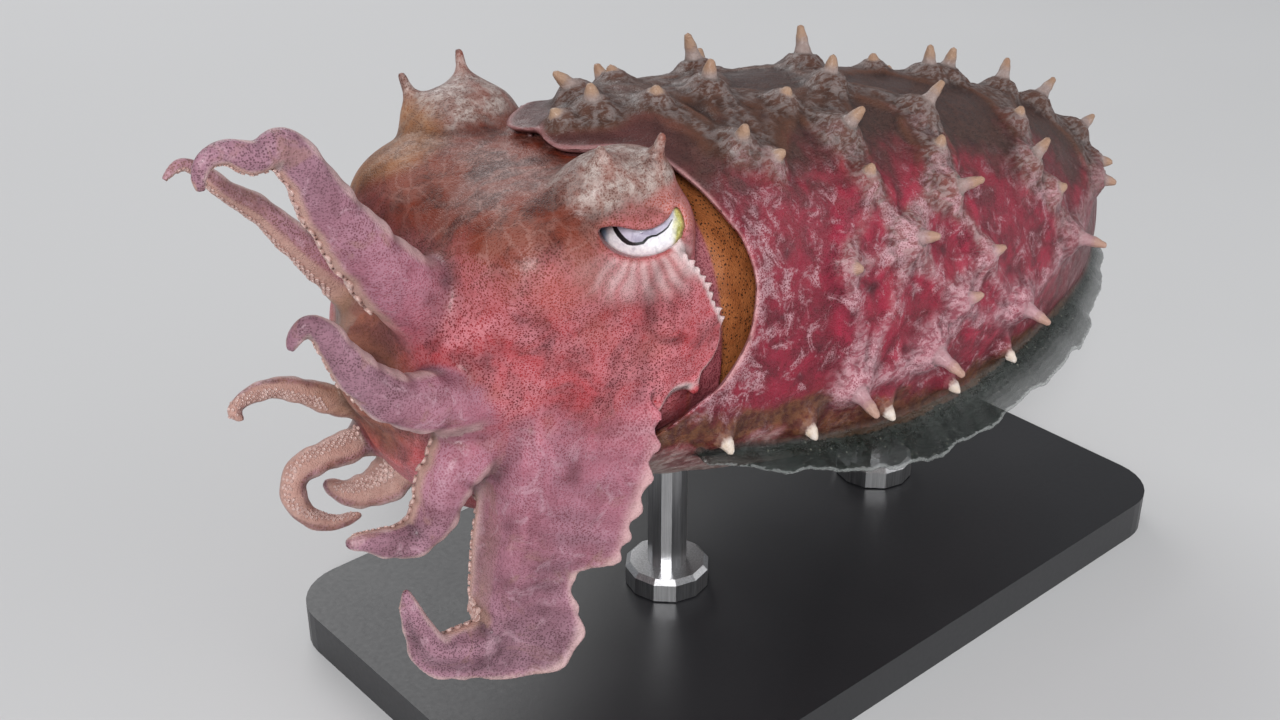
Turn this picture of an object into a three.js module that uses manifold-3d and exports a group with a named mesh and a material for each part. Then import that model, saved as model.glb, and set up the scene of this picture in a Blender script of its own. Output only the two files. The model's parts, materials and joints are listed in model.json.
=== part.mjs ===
// A life-size cuttlefish in a swimming pose, held by a plain display stand.
// Millimetres, +Z up. The head looks towards -X, the tail towards +X, and the animal's left side towards -Y.
// The origin is the middle of the stand's underside. Shapes are made in the animal's own frame, whose origin is
// the middle of the mantle's front opening, and one group lifts them to their place over the stand.
import * as THREE from "three";
import { mergeVertices } from "three/addons/utils/BufferGeometryUtils.js";
import Module from "manifold-3d";

const wasm = await Module();
wasm.setup();
const { Manifold, Mesh: SolidMesh } = wasm;

// ---------------------------------------------------------------- driving dimensions
const GAP = 0.3; // between neighbouring pieces
const LIFT = 80; // from the floor to the middle of the mantle's front opening
const STAND_X = 50; // stand's middle, measured in the animal's frame

const MANTLE = {
  length: 159,
  halfWidth: 38.5,
  dorsal: 47.5, // height above the axis
  ventral: 28.5, // depth below the axis
  pitch: 16, // degrees, front end up
  arch: 20, // rise of the axis at the tail
  power: 3.05,
  shoulder: 0.1,
  widthPower: 0.58,
  dorsalPower: 0.5,
  ventralPower: 2.2,
  finPower: 3.5,
  section: 2.15, // superellipse exponent
};
// Front margin of the mantle: axial place of the rim at each angle from the midline of the back, in degrees.
const RIM = [
  [0, -15.2], [5, -16.6], [9, -16.8], [13, -15.6], [17, -13.2], [21, -9.5], [25, -6], [30, -3], [36, -0.5], [43, 2.5], [50, 5.5],
  [57, 9], [69, 11.5], [78, 11], [86, 8.5], [95, 2.5], [103, -2], [110, -6], [140, -9], [180, -10],
];
const HOLLOW = 36; // how deep the neck sits behind the rim
const LOBE_DROOP = 0.0118; // how fast the front lobe bends down
const FIN = { start: 8, width: 12.5, droop: 34, wave: 9, waveLength: 62, root: 2.2, edge: 0.7 };

// Skin papillae of the mantle: axial place, angle from the midline of the back (left side negative), height,
// and lean of the tip along the body and round it.
const PAPILLAE = [
  [-4, 6, 5.0, -3.4, 0.6], [-12, -3, 2.6, -1.0, -0.4], [8, 12, 2.6, -0.6, 0.2], [30, 14, 7.2, -2.4, -1.0],
  [55, 7, 7.8, -0.6, 1.2], [77, 7, 3.0, -1.0, -0.3], [90, 1, 6.2, -1.4, 0.0], [96, 0, 6.4, -1.2, -1.2],
  [113, -3, 6.8, 1.5, -1.6], [123, -10, 6.6, 4.6, -1.6], [135, -24, 5.4, 3.6, -1.6], [136, -42, 4.0, 1.2, 1.4],
  [133, -51, 4.2, 1.6, 1.8], [113, -70, 7.2, 1.6, 1.8], [-6.5, -5, 5.0, -0.4, -0.2], [19, -6, 5.6, -0.5, -0.1],
  [5, -9, 2.8, -0.5, 0.1], [14, -31, 4.8, -1.2, -0.6], [19, -37, 3.2, 1.2, -0.2], [32, -16, 2.8, 0.2, 0.0],
  [48, -10, 5.4, -0.4, -0.6], [40, -30, 5.8, 1.6, -0.4], [67, -24, 6.0, 3.4, -1.8], [41, -45, 3.2, -0.6, -1.6],
  [64, -39, 3.4, -0.6, -1.6], [64, -50, 5.8, 3.8, -0.2], [96, -44, 5.4, 1.6, -2.6], [100, -28, 3.2, -0.6, -1.0],
  [50, -61, 5.2, 2.0, 0.2], [75, -68, 3.6, 1.4, -1.2], [33, -66, 3.0, 0.8, 0.2], [67, -78, 3.8, 2.0, -1.4],
  [91, -84, 7.0, 1.2, 2.2], [60, -88, 7.8, 1.4, 2.6], [39, -94, 7.2, 0.8, 2.4], [104, -54, 3.2, 0.6, -0.2],
];
const FIN_BASE_PAPILLAE = { first: 11, step: 20, count: 5, angle: 109, height: 3.4 };
const MIRROR_ABOVE = 27; // papillae further round than this are repeated on the far side
const SMALLEST_PAPILLA = 3.5; // lower ones belong to the skin
const PAPILLA = { root: 2.3, neck: 0.95, tip: 0.55, sink: 1.2 };

// Head cross-sections: place along X, middle height, half-width, top, bottom.
const HEAD = [
  [5.0, 4, 31.0, 33.0, -21], [-2, 5, 31.5, 35.6, -24], [-10, 4, 31.2, 35.4, -26.5], [-18, 2, 30.0, 33.4, -28],
  [-25, 0, 27.0, 30.0, -27], [-31, -2, 22.0, 25.0, -24], [-36, -3, 16.0, 17.5, -20], [-39.5, -3, 9.5, 9.0, -14],
];
const HEAD_SECTION = 2.4;
const EYE = { x: -1.1, y: 22.7, z: 25.8, radius: 8.0 };
const EYE_OPENING = { look: [-0.62, 0.71, 0.33], out: 8.3, long: 7.0, high: 2.9, deep: 4.2 };
const EYE_BULGE = { x: -3.4, y: 20.8, z: 26.2, r: [12.0, 10.8, 10.6] };
const FOREHEAD = { x: -18.5, y: 16.2, z: 23.6, r: [13.0, 12.8, 10.6] };
const BROW = { x: -5.8, y: 21.4, z: 35.4, r: [10.0, 7.2, 5.4] };
// Papillae over the eyes: root, tip and root radius; those of the left side are drawn in.
const BROW_PAPILLAE = {
  left: [[[-1.6, -25.4, 37.0], [-1.0, -27.4, 43.4], 2.6], [[-9.6, -22.6, 37.6], [-10.4, -23.4, 42.4], 2.0]],
  right: [[[-2.0, 25.0, 37.6], [-1.2, 27.6, 44.2], 2.8], [[-12.8, 24.2, 35.6], [-14.2, 26.8, 42.8], 2.8]],
};
// Neck cross-sections in the same order as the head's.
const NECK = [[-6, 4, 29.6, 33.0, -22], [4, 3.5, 30.6, 33.0, -23], [12, 2, 30.6, 32.0, -24], [24, -2, 29.5, 29.0, -24]];
const MOUTH = { x: -36.5, y: 2.5, z: 3.5, r: [9.0, 10.0, 12.0] };
const FUNNEL = { from: [6, 0, -25], to: [-13, 0, -33], root: 10, tip: 5.2, bore: 3.6, depth: 7 };

// Arms. path: control points of the middle line; width and thick: half-width and half-thickness near the root, the
// tip's share of them, the power of the taper, and how much the root itself swells; cuts: where the arm is divided,
// as a share of its length.
const VIEW = [-0.579, -0.661, 0.477]; // where the broad faces look
const ARMS = {
  arm_left_1: {
    path: [[-28.5, -8, 12], [-40.1, -9, 23], [-47, -9, 32.4], [-51.3, -8, 39.9], [-54.2, -7.5, 46.1], [-57.1, -7, 50],
      [-61.2, -6.5, 49.2], [-65.3, -6, 51], [-68.5, -6, 50.6], [-69.9, -6, 48.5], [-69.9, -6, 46.2]],
    width: [7.6, 0.09, 0.85, 0.6], thick: [5.8, 0.12, 0.75, 2.2], cuts: [0.4, 0.68],
  },
  arm_right_1: {
    path: [[-25.5, 10.5, 4], [-34, 9.6, 11.4], [-40.6, 9, 18], [-47.8, 8, 26.5], [-54.4, 8, 34.8], [-59.6, 7.5, 39.4], [-63.6, 7, 43.9],
      [-66.8, 6.5, 45.8], [-70, 6, 44.3]],
    width: [4.4, 0.1, 0.78, 3.0], thick: [4.2, 0.14, 0.72, 3.6], cuts: [0.52],
  },
  arm_left_2: {
    path: [[-22, -14.5, 5.4], [-33.4, -17, 4.4], [-41.9, -18, 6.2], [-48.6, -18, 9.5], [-53.4, -17.5, 14.6],
      [-56.5, -17, 19.6], [-58.5, -16.5, 23.7], [-60.9, -16, 25.5], [-62.7, -15.5, 24.1], [-63.6, -15, 22]],
    width: [6.8, 0.08, 0.72, 1.2], thick: [6.8, 0.1, 0.7, 0.8], cuts: [0.52],
  },
  arm_right_2: {
    path: [[-21, 17.5, -2], [-32, 14.5, -6.6], [-40.4, 12, -7.2], [-47.5, 12, -2.8], [-52.4, 12.4, -0.2],
      [-56.3, 12.4, 0.4], [-59.6, 12, 0.1], [-61.6, 11.4, -0.9], [-60.4, 11, -2.8]],
    width: [3.9, 0.12, 0.62, 4.2], thick: [4.2, 0.14, 0.62, 3.4], cuts: [0.5],
  },
  arm_left_3: {
    path: [[-27, -16, -2], [-37.1, -19, -5.2], [-41.3, -19.5, -9], [-44, -20, -13.5], [-47.4, -19.5, -16.4],
      [-52.1, -19, -15.8], [-56.1, -18.5, -14], [-59.4, -18, -13.2]],
    width: [6.3, 0.1, 0.68, 1.4], thick: [6.2, 0.12, 0.68, 1.2], cuts: [0.52],
  },
  arm_right_3: {
    path: [[-20, 17, -12], [-30, 14, -15.4], [-39, 12, -16.4], [-46.3, 11.6, -16.3], [-51.1, 11.6, -17.3],
      [-52.8, 11, -19.7], [-52.2, 10.5, -23.7], [-49.6, 10, -27.3], [-45.7, 9.5, -29.3], [-40.8, 9.5, -29.7]],
    width: [3.9, 0.1, 0.55, 4.0], thick: [4.0, 0.14, 0.55, 3.2], cuts: [0.52],
  },
  arm_right_4: {
    path: [[-13, 13, -8], [-18, 16, -17], [-23.5, 18, -26], [-30, 18.5, -31.6], [-37, 19.5, -31.6], [-41.5, 20.5, -28]],
    width: [8.8, 0.08, 0.7, 2.0], thick: [6.0, 0.12, 0.7, 1.5], cuts: [0.55],
  },
};
// The left ventral arm hangs lowest and is broad, with a thin keel along its rear edge. Its half-widths are given
// towards the front and towards the keel, as shares of the length with their value.
const KEEL_ARM = {
  path: [[-13.5, -17, 10], [-20, -24.4, -2], [-23.6, -27, -11], [-26.4, -27, -19.6], [-28.8, -27, -25.9],
    [-31, -26.5, -31.8], [-33.2, -26, -37.3], [-37.8, -25.5, -40.9], [-44, -25, -39.4], [-48.8, -24.5, -36.5],
    [-51, -24, -30.9], [-52.4, -24, -25.7], [-52.9, -24, -22.4]],
  front: [[0, 12], [0.12, 14.6], [0.22, 14.4], [0.32, 13], [0.42, 12], [0.5, 11], [0.58, 9.2], [0.66, 7.6], [0.74, 5.4], [0.82, 3.8], [0.9, 2.4], [0.96, 1.6], [1, 0.6]],
  keel: [[0, 9], [0.12, 14.2], [0.225, 16.2], [0.3, 15], [0.343, 14.2], [0.4, 14.4], [0.44, 13], [0.462, 9.5], [0.48, 7], [0.515, 7.7], [0.55, 10], [0.592, 11.6], [0.62, 11.8],
    [0.645, 10.6], [0.67, 8.4], [0.7, 5.2], [0.74, 4.2], [0.82, 4], [0.9, 2.6], [0.96, 1.7], [1, 0.7]],
  thick: [8.6, 0.1, 0.75],
  keelThick: 0.9,
  core: -0.3, // where the thick part lies across the arm, negative towards the front
  coreSpread: 0.55,
  scallop: 0.05,
  scallops: 15,
  cuts: [0.43, 0.72],
};
const STAND = { length: 176, width: 100, thick: 9, corner: 12, rod: 4.2, collar: 9, collarHigh: 5, front: 26, rear: 92 };

// ---------------------------------------------------------------- small tools
const rad = (d) => (d * Math.PI) / 180;
const clamp = (v, a, b) => Math.min(b, Math.max(a, v));
const table = (rows, v) => {
  if (v <= rows[0][0]) return rows[0][1];
  for (let i = 1; i < rows.length; i++)
    if (v <= rows[i][0]) {
      const [a, b] = [rows[i - 1], rows[i]];
      return a[1] + ((b[1] - a[1]) * (v - a[0])) / (b[0] - a[0]);
    }
  return rows[rows.length - 1][1];
};
const V = (a) => new THREE.Vector3(a[0], a[1], a[2]);

// A closed surface from rings of equal point counts, capped by fans. capStart may be given as a point.
function loft(rings, capStart, capEnd) {
  const m = rings[0].length,
    n = rings.length,
    pos = rings.flat().flatMap((p) => [p.x, p.y, p.z]),
    idx = [];
  const mean = (r) => r.reduce((s, p) => s.add(p), new THREE.Vector3()).multiplyScalar(1 / m);
  for (let i = 0; i < n - 1; i++)
    for (let j = 0; j < m; j++) {
      const a = i * m + j, b = i * m + ((j + 1) % m), c = (i + 1) * m + ((j + 1) % m), d = (i + 1) * m + j;
      idx.push(a, b, c, a, c, d);
    }
  for (const [ring, base, flip, cap] of [[rings[0], 0, true, capStart], [rings[n - 1], (n - 1) * m, false, capEnd]]) {
    const c = cap || mean(ring), k = pos.length / 3;
    pos.push(c.x, c.y, c.z);
    for (let j = 0; j < m; j++) {
      const a = base + j, b = base + ((j + 1) % m);
      flip ? idx.push(a, k, b) : idx.push(a, b, k);
    }
  }
  const g = new THREE.BufferGeometry();
  g.setAttribute("position", new THREE.Float32BufferAttribute(pos, 3));
  g.setIndex(idx);
  return g;
}
// A closed geometry as a solid, turned the right way out.
function solid(geometry) {
  const g = geometry.clone();
  g.deleteAttribute("normal");
  g.deleteAttribute("uv");
  const m = mergeVertices(g, 1e-4);
  const p = m.getAttribute("position"), t = new Uint32Array(m.index.array);
  let vol = 0;
  const a = new THREE.Vector3(), b = new THREE.Vector3(), c = new THREE.Vector3();
  for (let i = 0; i < t.length; i += 3) {
    a.fromBufferAttribute(p, t[i]); b.fromBufferAttribute(p, t[i + 1]); c.fromBufferAttribute(p, t[i + 2]);
    vol += a.dot(b.cross(c));
  }
  if (vol < 0) for (let i = 0; i < t.length; i += 3) [t[i + 1], t[i + 2]] = [t[i + 2], t[i + 1]];
  return new Manifold(new SolidMesh({ numProp: 3, vertProperties: new Float32Array(p.array), triVerts: t }));
}
function ellipsoid(c, r, { rings = 9, sides = 14, grow = 0, turn = null } = {}) {
  const g = new THREE.SphereGeometry(1, sides, rings);
  g.scale(r[0] + grow, r[1] + grow, r[2] + grow);
  if (turn) g.applyQuaternion(turn);
  g.translate(c[0], c[1], c[2]);
  return solid(g);
}
const join = (list) => list.reduce((a, b) => a.add(b));
const biggest = (s) => s.decompose().sort((a, b) => b.volume() - a.volume())[0];

// ---------------------------------------------------------------- mantle
const turnMantle = (x, y, z) => {
  const c = Math.cos(rad(MANTLE.pitch)), s = Math.sin(rad(MANTLE.pitch));
  return new THREE.Vector3(c * x + s * z, y, -s * x + c * z);
};
function mantleSizes(x) {
  const t = x / MANTLE.length;
  const b = clamp(1 - clamp((t - MANTLE.shoulder) / (1 - MANTLE.shoulder), 0, 1) ** MANTLE.power, 0, 1);
  const f = 0.9 + 0.1 * clamp(t / 0.3, 0, 1);
  return {
    a: MANTLE.halfWidth * b ** MANTLE.widthPower * f,
    up: MANTLE.dorsal * b ** MANTLE.dorsalPower * f,
    down: MANTLE.ventral * b ** MANTLE.ventralPower * f + 1.5 * b ** 0.5,
    fin: MANTLE.ventral * b ** MANTLE.finPower * f * 0.5,
    rise: MANTLE.arch * clamp(t, 0, 1) ** 2,
    droop: x < 10 ? LOBE_DROOP * (10 - x) ** 2 : 0,
  };
}
function mantlePoint(x, phi, side, grow = 0) {
  const q = mantleSizes(x), e = 2 / MANTLE.section, s = Math.abs(Math.sin(phi)) ** e, c = Math.cos(phi);
  const y = side * (q.a + grow) * s;
  const h = Math.abs(c) ** e;
  const z = (c >= 0 ? (q.up + grow) * h - q.droop * c : -(q.down + grow) * h) + q.rise;
  return turnMantle(x, y, z);
}
function mantleNormal(x, phi, side) {
  const e = 0.4, d = 0.02;
  const a = mantlePoint(x + e, phi, side).sub(mantlePoint(x - e, phi, side)).normalize();
  const b = mantlePoint(x, phi + d, side).sub(mantlePoint(x, phi - d, side)).normalize();
  const n = a.clone().cross(b).normalize();
  if (side > 0) n.negate();
  const p = mantlePoint(x, phi, side), c = turnMantle(x, 0, mantleSizes(x).rise);
  if (n.dot(p.sub(c)) < 0) n.negate();
  return { n, a, b };
}
function mantleBody(grow = 0) {
  const N = 17, M = 24, rings = [];
  for (let i = 0; i <= N; i++) {
    const s = i / N, k = 1 - (1 - s) ** 1.35, ring = [];
    for (let j = 0; j < M; j++) {
      const th = (2 * Math.PI * (j + 0.5)) / M, side = th <= Math.PI ? 1 : -1, phi = side > 0 ? th : 2 * Math.PI - th;
      const e = table(RIM, (phi * 180) / Math.PI) - grow, x = e + k * (MANTLE.length * 0.9985 - e);
      ring.push(mantlePoint(x, phi, side, grow));
    }
    rings.push(ring);
  }
  return solid(loft(rings, turnMantle(HOLLOW, 0, 2), turnMantle(MANTLE.length + grow, 0, MANTLE.arch)));
}
// A papilla: a flared cone with a blunt tip, from root point p along n, with its tip leant by "lean".
function papilla(p, n, lean, height, root = PAPILLA.root, grow = 0, sides = height < 6.6 ? 4 : 5) {
  const rings = [];
  const u = new THREE.Vector3(0, 0, 1).cross(n);
  if (u.length() < 0.1) u.set(1, 0, 0).cross(n);
  u.normalize();
  const v = n.clone().cross(u);
  const prof = [[-PAPILLA.sink, root], [0.34 * height, PAPILLA.neck], [height, PAPILLA.tip]];
  for (const [h, r] of prof) {
    const k = clamp(h / height, 0, 1) ** 1.4;
    const c = p.clone().addScaledVector(n, h + (h === height ? grow : 0)).addScaledVector(lean, k);
    rings.push(Array.from({ length: sides }, (_, j) => {
      const a = (2 * Math.PI * j) / sides;
      return c.clone().addScaledVector(u, (r + grow) * Math.cos(a)).addScaledVector(v, (r + grow) * Math.sin(a));
    }));
  }
  return solid(loft(rings));
}
function mantlePapillae(grow = 0) {
  const list = [];
  const put = (x, deg, h, lx, la) => {
    const side = deg < 0 ? -1 : 1, phi = rad(Math.max(Math.abs(deg), 0.8));
    const { n, a, b } = mantleNormal(x, phi, side);
    const lean = a.clone().multiplyScalar(lx).addScaledVector(b, la);
    list.push(papilla(mantlePoint(x, phi, side), n, lean, h, PAPILLA.root, grow));
  };
  for (const [x, deg, h, lx, la] of PAPILLAE) {
    if (h < SMALLEST_PAPILLA) continue;
    put(x, deg, h, lx, la);
    if (Math.abs(deg) > MIRROR_ABOVE) put(x + 3 * Math.sin(x), -deg, h, lx, la);
  }
  const f = FIN_BASE_PAPILLAE;
  for (let i = 0; i < f.count; i++) for (const s of [-1, 1]) put(f.first + i * f.step, s * (f.angle - 2.2 * i), f.height, 0.5, 1);
  return list;
}

// ---------------------------------------------------------------- fins
function finBlade(side, grow = 0) {
  const N = 14, rings = [];
  const end = MANTLE.length - 1.5;
  for (let i = 0; i <= N; i++) {
    const s = i / N, x = FIN.start + s * (end - FIN.start), q = mantleSizes(x);
    const root = turnMantle(x, side * q.a * Math.cos(rad(30)), -q.fin + q.rise);
    const w = FIN.width * Math.min(1, 0.28 + 2.4 * s, 0.3 + 2.6 * (1 - s)) + grow;
    const droop = rad(FIN.droop + FIN.wave * Math.sin((2 * Math.PI * x) / FIN.waveLength));
    const back = clamp((s - 0.78) / 0.22, 0, 1) ** 1.5 * rad(40);
    const out = new THREE.Vector3(Math.sin(back), side * Math.cos(droop) * Math.cos(back), -Math.sin(droop) * Math.cos(back * 0.8)).normalize();
    const up = new THREE.Vector3(0, side * Math.sin(droop), Math.cos(droop)).normalize();
    const start = root.clone().addScaledVector(out, -2.5);
    const t0 = FIN.root / 2 + grow, t1 = FIN.edge / 2 + grow, mid = 0.45;
    const at = (k, t) => start.clone().addScaledVector(out, k * (w + 2.5)).addScaledVector(up, t);
    rings.push([at(0, t0), at(mid, t0 * 0.62), at(1, t1), at(1, -t1), at(mid, -t0 * 0.62), at(0, -t0)]);
  }
  return solid(loft(rings));
}

// ---------------------------------------------------------------- head and neck
function superRing(x, zc, w, top, bottom, grow, M) {
  return Array.from({ length: M }, (_, j) => {
    const th = (2 * Math.PI * (j + 0.5)) / M, s = Math.sin(th), c = Math.cos(th), e = 2 / HEAD_SECTION;
    const y = (w + grow) * Math.sign(s) * Math.abs(s) ** e;
    const z = zc + (c >= 0 ? top - zc + grow : zc - bottom + grow) * Math.sign(c) * Math.abs(c) ** e;
    return new THREE.Vector3(x, y, z);
  });
}
function sectionLoft(rows, grow, M, steps) {
  const rings = [], n = rows.length - 1;
  for (let i = 0; i <= steps; i++) {
    const f = (i / steps) * n, k = Math.min(n - 1, Math.floor(f)), u = f - k;
    const r = rows[k].map((v, c) => v + (rows[k + 1][c] - v) * u);
    if (i === 0) r[0] += Math.sign(rows[0][0] - rows[1][0]) * grow;
    if (i === steps) r[0] -= Math.sign(rows[0][0] - rows[1][0]) * grow;
    rings.push(superRing(...r, grow, M));
  }
  return solid(loft(rings));
}
function headBody(grow = 0) {
  const list = [sectionLoft(HEAD, grow, 20, 7)];
  for (const s of [-1, 1]) {
    for (const e of [EYE_BULGE, FOREHEAD, BROW]) list.push(ellipsoid([e.x, s * e.y, e.z], e.r, { grow, rings: 6, sides: 10 }));
    if (!grow)
      for (const [p, t, r] of s < 0 ? BROW_PAPILLAE.left : BROW_PAPILLAE.right) {
        const a = V(p), d = V(t).sub(a), h = d.length();
        list.push(papilla(a, d.normalize(), new THREE.Vector3(), h, r));
      }
  }
  return join(list);
}
function eyeball(side, grow = 0) {
  return ellipsoid([EYE.x, side * EYE.y, EYE.z], [EYE.radius, EYE.radius, EYE.radius], { grow, rings: 6, sides: 12 });
}
function eyeOpening(side) {
  const o = EYE_OPENING;
  const n = V([o.look[0], side * o.look[1], o.look[2]]).normalize();
  const along = new THREE.Vector3(0, 0, 1).cross(n).normalize(), up = n.clone().cross(along);
  const turn = new THREE.Quaternion().setFromRotationMatrix(new THREE.Matrix4().makeBasis(along, n.clone().negate(), up));
  return ellipsoid([EYE.x + o.out * n.x, side * EYE.y + o.out * n.y, EYE.z + o.out * n.z], [o.long, o.deep, o.high], { rings: 6, sides: 12, turn });
}

// ---------------------------------------------------------------- arms
// Frames along the arm's middle line, with the broad face turned towards "look".
function armFrames(path, look) {
  const curve = new THREE.CatmullRomCurve3(path.map(V), false, "centripetal");
  curve.arcLengthDivisions = 400;
  return (s) => {
    const p = curve.getPointAt(clamp(s, 0, 1)), t = curve.getTangentAt(clamp(s, 0, 1));
    const n = look.clone().addScaledVector(t, -look.dot(t)).normalize();
    return { p, t, n, b: n.clone().cross(t) };
  };
}
const taper = ([root, tip, power, swell = 0], s) => root * (tip + (1 - tip) * (1 - s) ** power) + swell * Math.exp(-((s / 0.16) ** 2));
function armPiece(spec, from, to, grow = 0) {
  const at = armFrames(spec.path, V(VIEW)), keel = !!spec.keel, sides = keel ? 12 : 8;
  const n = Math.max(3, Math.round((to - from) * (keel ? 18 : 16))), rings = [];
  for (let i = 0; i <= n; i++) {
    const s = from + ((to - from) * i) / n, { p, t, n: face, b } = at(s);
    if (i === 0) p.addScaledVector(t, -grow);
    if (i === n) p.addScaledVector(t, grow);
    const h = taper(spec.thick, s);
    const wf = keel ? table(spec.front, s) : taper(spec.width, s);
    const wk = keel ? table(spec.keel, s) * (1 + spec.scallop * Math.sin(s * spec.scallops * 2 * Math.PI)) : wf;
    rings.push(Array.from({ length: sides }, (_, j) => {
      const a = (2 * Math.PI * (j + 0.5)) / sides, u = Math.cos(a), v = Math.sin(a);
      let th;
      if (keel) {
        const e = Math.min(spec.keelThick, h * 0.6);
        th = e + (h - e) * Math.exp(-(((u - spec.core) / spec.coreSpread) ** 2));
        th *= Math.abs(v) ** 0.45;
      } else th = Math.max(0.35, h * Math.abs(v) ** 0.85);
      const w = (u >= 0 ? wk : wf) + grow;
      return p.clone().addScaledVector(b, w * u).addScaledVector(face, Math.sign(v) * (th + grow));
    }));
  }
  return solid(loft(rings));
}

// ---------------------------------------------------------------- assembly
const root = new THREE.Group();
const animal = new THREE.Group();
animal.position.set(-STAND_X, 0, LIFT);
root.add(animal);
const skin = (c, r = 0.45) => new THREE.MeshStandardMaterial({ color: c, roughness: r, metalness: 0 });
function show(group, name, s, material) {
  const m = s.getMesh(), p = new Float32Array((m.vertProperties.length / m.numProp) * 3);
  for (let i = 0; i < p.length / 3; i++) p.set(m.vertProperties.subarray(i * m.numProp, i * m.numProp + 3), i * 3);
  const g = new THREE.BufferGeometry();
  g.setAttribute("position", new THREE.BufferAttribute(p, 3));
  g.setIndex(new THREE.BufferAttribute(new Uint32Array(m.triVerts), 1));
  g.computeVertexNormals();
  const mesh = new THREE.Mesh(g, material);
  mesh.name = name;
  group.add(mesh);
}
const SIDES = [["left", -1], ["right", 1]];

// The clearance solid: grown outwards, and shifted forwards for the hollow face inside the rim.
const mantleGrown = join([mantleBody(GAP), mantleBody().translate([-0.4, 0, 0]), ...mantlePapillae(GAP)]);
const neckGrown = sectionLoft(NECK, GAP, 18, 3);
const headGrown = headBody(GAP);
const mantle = biggest(join([mantleBody(), ...mantlePapillae()]).subtract(neckGrown));
show(animal, "mantle", mantle, skin(0x9a4a52));

const eyesGrown = join(SIDES.map(([, s]) => eyeball(s, GAP)));
const head = biggest(headBody().subtract(mantleGrown).subtract(eyesGrown).subtract(join(SIDES.map(([, s]) => eyeOpening(s)))));
show(animal, "head", head, skin(0xa8605a));
for (const [name, s] of SIDES) {
  show(animal, "eye_" + name, eyeball(s), new THREE.MeshStandardMaterial({ color: 0xd8d8de, roughness: 0.08, metalness: 0.1 }));
  show(animal, "fin_" + name, biggest(finBlade(s).subtract(mantleGrown)), skin(0x8c9a86, 0.35));
}
show(animal, "neck", biggest(sectionLoft(NECK, 0, 18, 3).subtract(headGrown)), skin(0xb06a34));

// Arms are laid from the nearest to the hidden ones, each kept clear of those before it.
const placed = [headGrown];
const lay = (name, spec, material) => {
  const cuts = [0, ...spec.cuts, 1], names = cuts.length === 4 ? ["base", "middle", "tip"] : ["base", "tip"];
  const length = armLength(spec.path), g = GAP / 2 / length;
  const grown = [];
  names.forEach((part, i) => {
    const from = cuts[i] + (i ? g : 0), to = cuts[i + 1] - (i < names.length - 1 ? g : 0);
    let s = armPiece(spec, from, to);
    for (const other of placed) s = s.subtract(other);
    show(animal, name + "_" + part, biggest(s), material);
    grown.push(armPiece(spec, from, to, GAP));
  });
  placed.push(join(grown));
};
function armLength(path) {
  return new THREE.CatmullRomCurve3(path.map(V), false, "centripetal").getLength();
}
lay("arm_left_4", KEEL_ARM, skin(0xb07078));
lay("arm_left_1", ARMS.arm_left_1, skin(0xa8788c));
lay("arm_left_2", ARMS.arm_left_2, skin(0xa06a74));
lay("arm_left_3", ARMS.arm_left_3, skin(0xa86a70));
lay("arm_right_1", ARMS.arm_right_1, skin(0xb08468));
lay("arm_right_2", ARMS.arm_right_2, skin(0xb08a70));
lay("arm_right_3", ARMS.arm_right_3, skin(0xa87a60));
lay("arm_right_4", ARMS.arm_right_4, skin(0x8a5a50));
let mouth = ellipsoid([MOUTH.x, MOUTH.y, MOUTH.z], MOUTH.r, { rings: 7, sides: 12 });
for (const other of placed) mouth = mouth.subtract(other);
show(animal, "mouth", biggest(mouth), skin(0x8a6248));

// Funnel: a tapered tube with an open end, under the neck.
{
  const a = V(FUNNEL.from), b = V(FUNNEL.to), d = b.clone().sub(a), L = d.length();
  const g = new THREE.LatheGeometry([[0, 0], [FUNNEL.root, 0], [FUNNEL.root * 0.94, L * 0.3], [FUNNEL.tip * 1.25, L * 0.72], [FUNNEL.tip, L],
    [FUNNEL.bore, L], [FUNNEL.bore * 0.8, L - FUNNEL.depth], [0, L - FUNNEL.depth]].map(([r, h]) => new THREE.Vector2(r, h)), 12);
  g.applyQuaternion(new THREE.Quaternion().setFromUnitVectors(new THREE.Vector3(0, 1, 0), d.normalize()));
  g.translate(a.x, a.y, a.z);
  let s = solid(g).subtract(mantleGrown).subtract(neckGrown);
  for (const other of placed) s = s.subtract(other);
  show(animal, "funnel", biggest(s), skin(0xc8a890));
}

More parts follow.
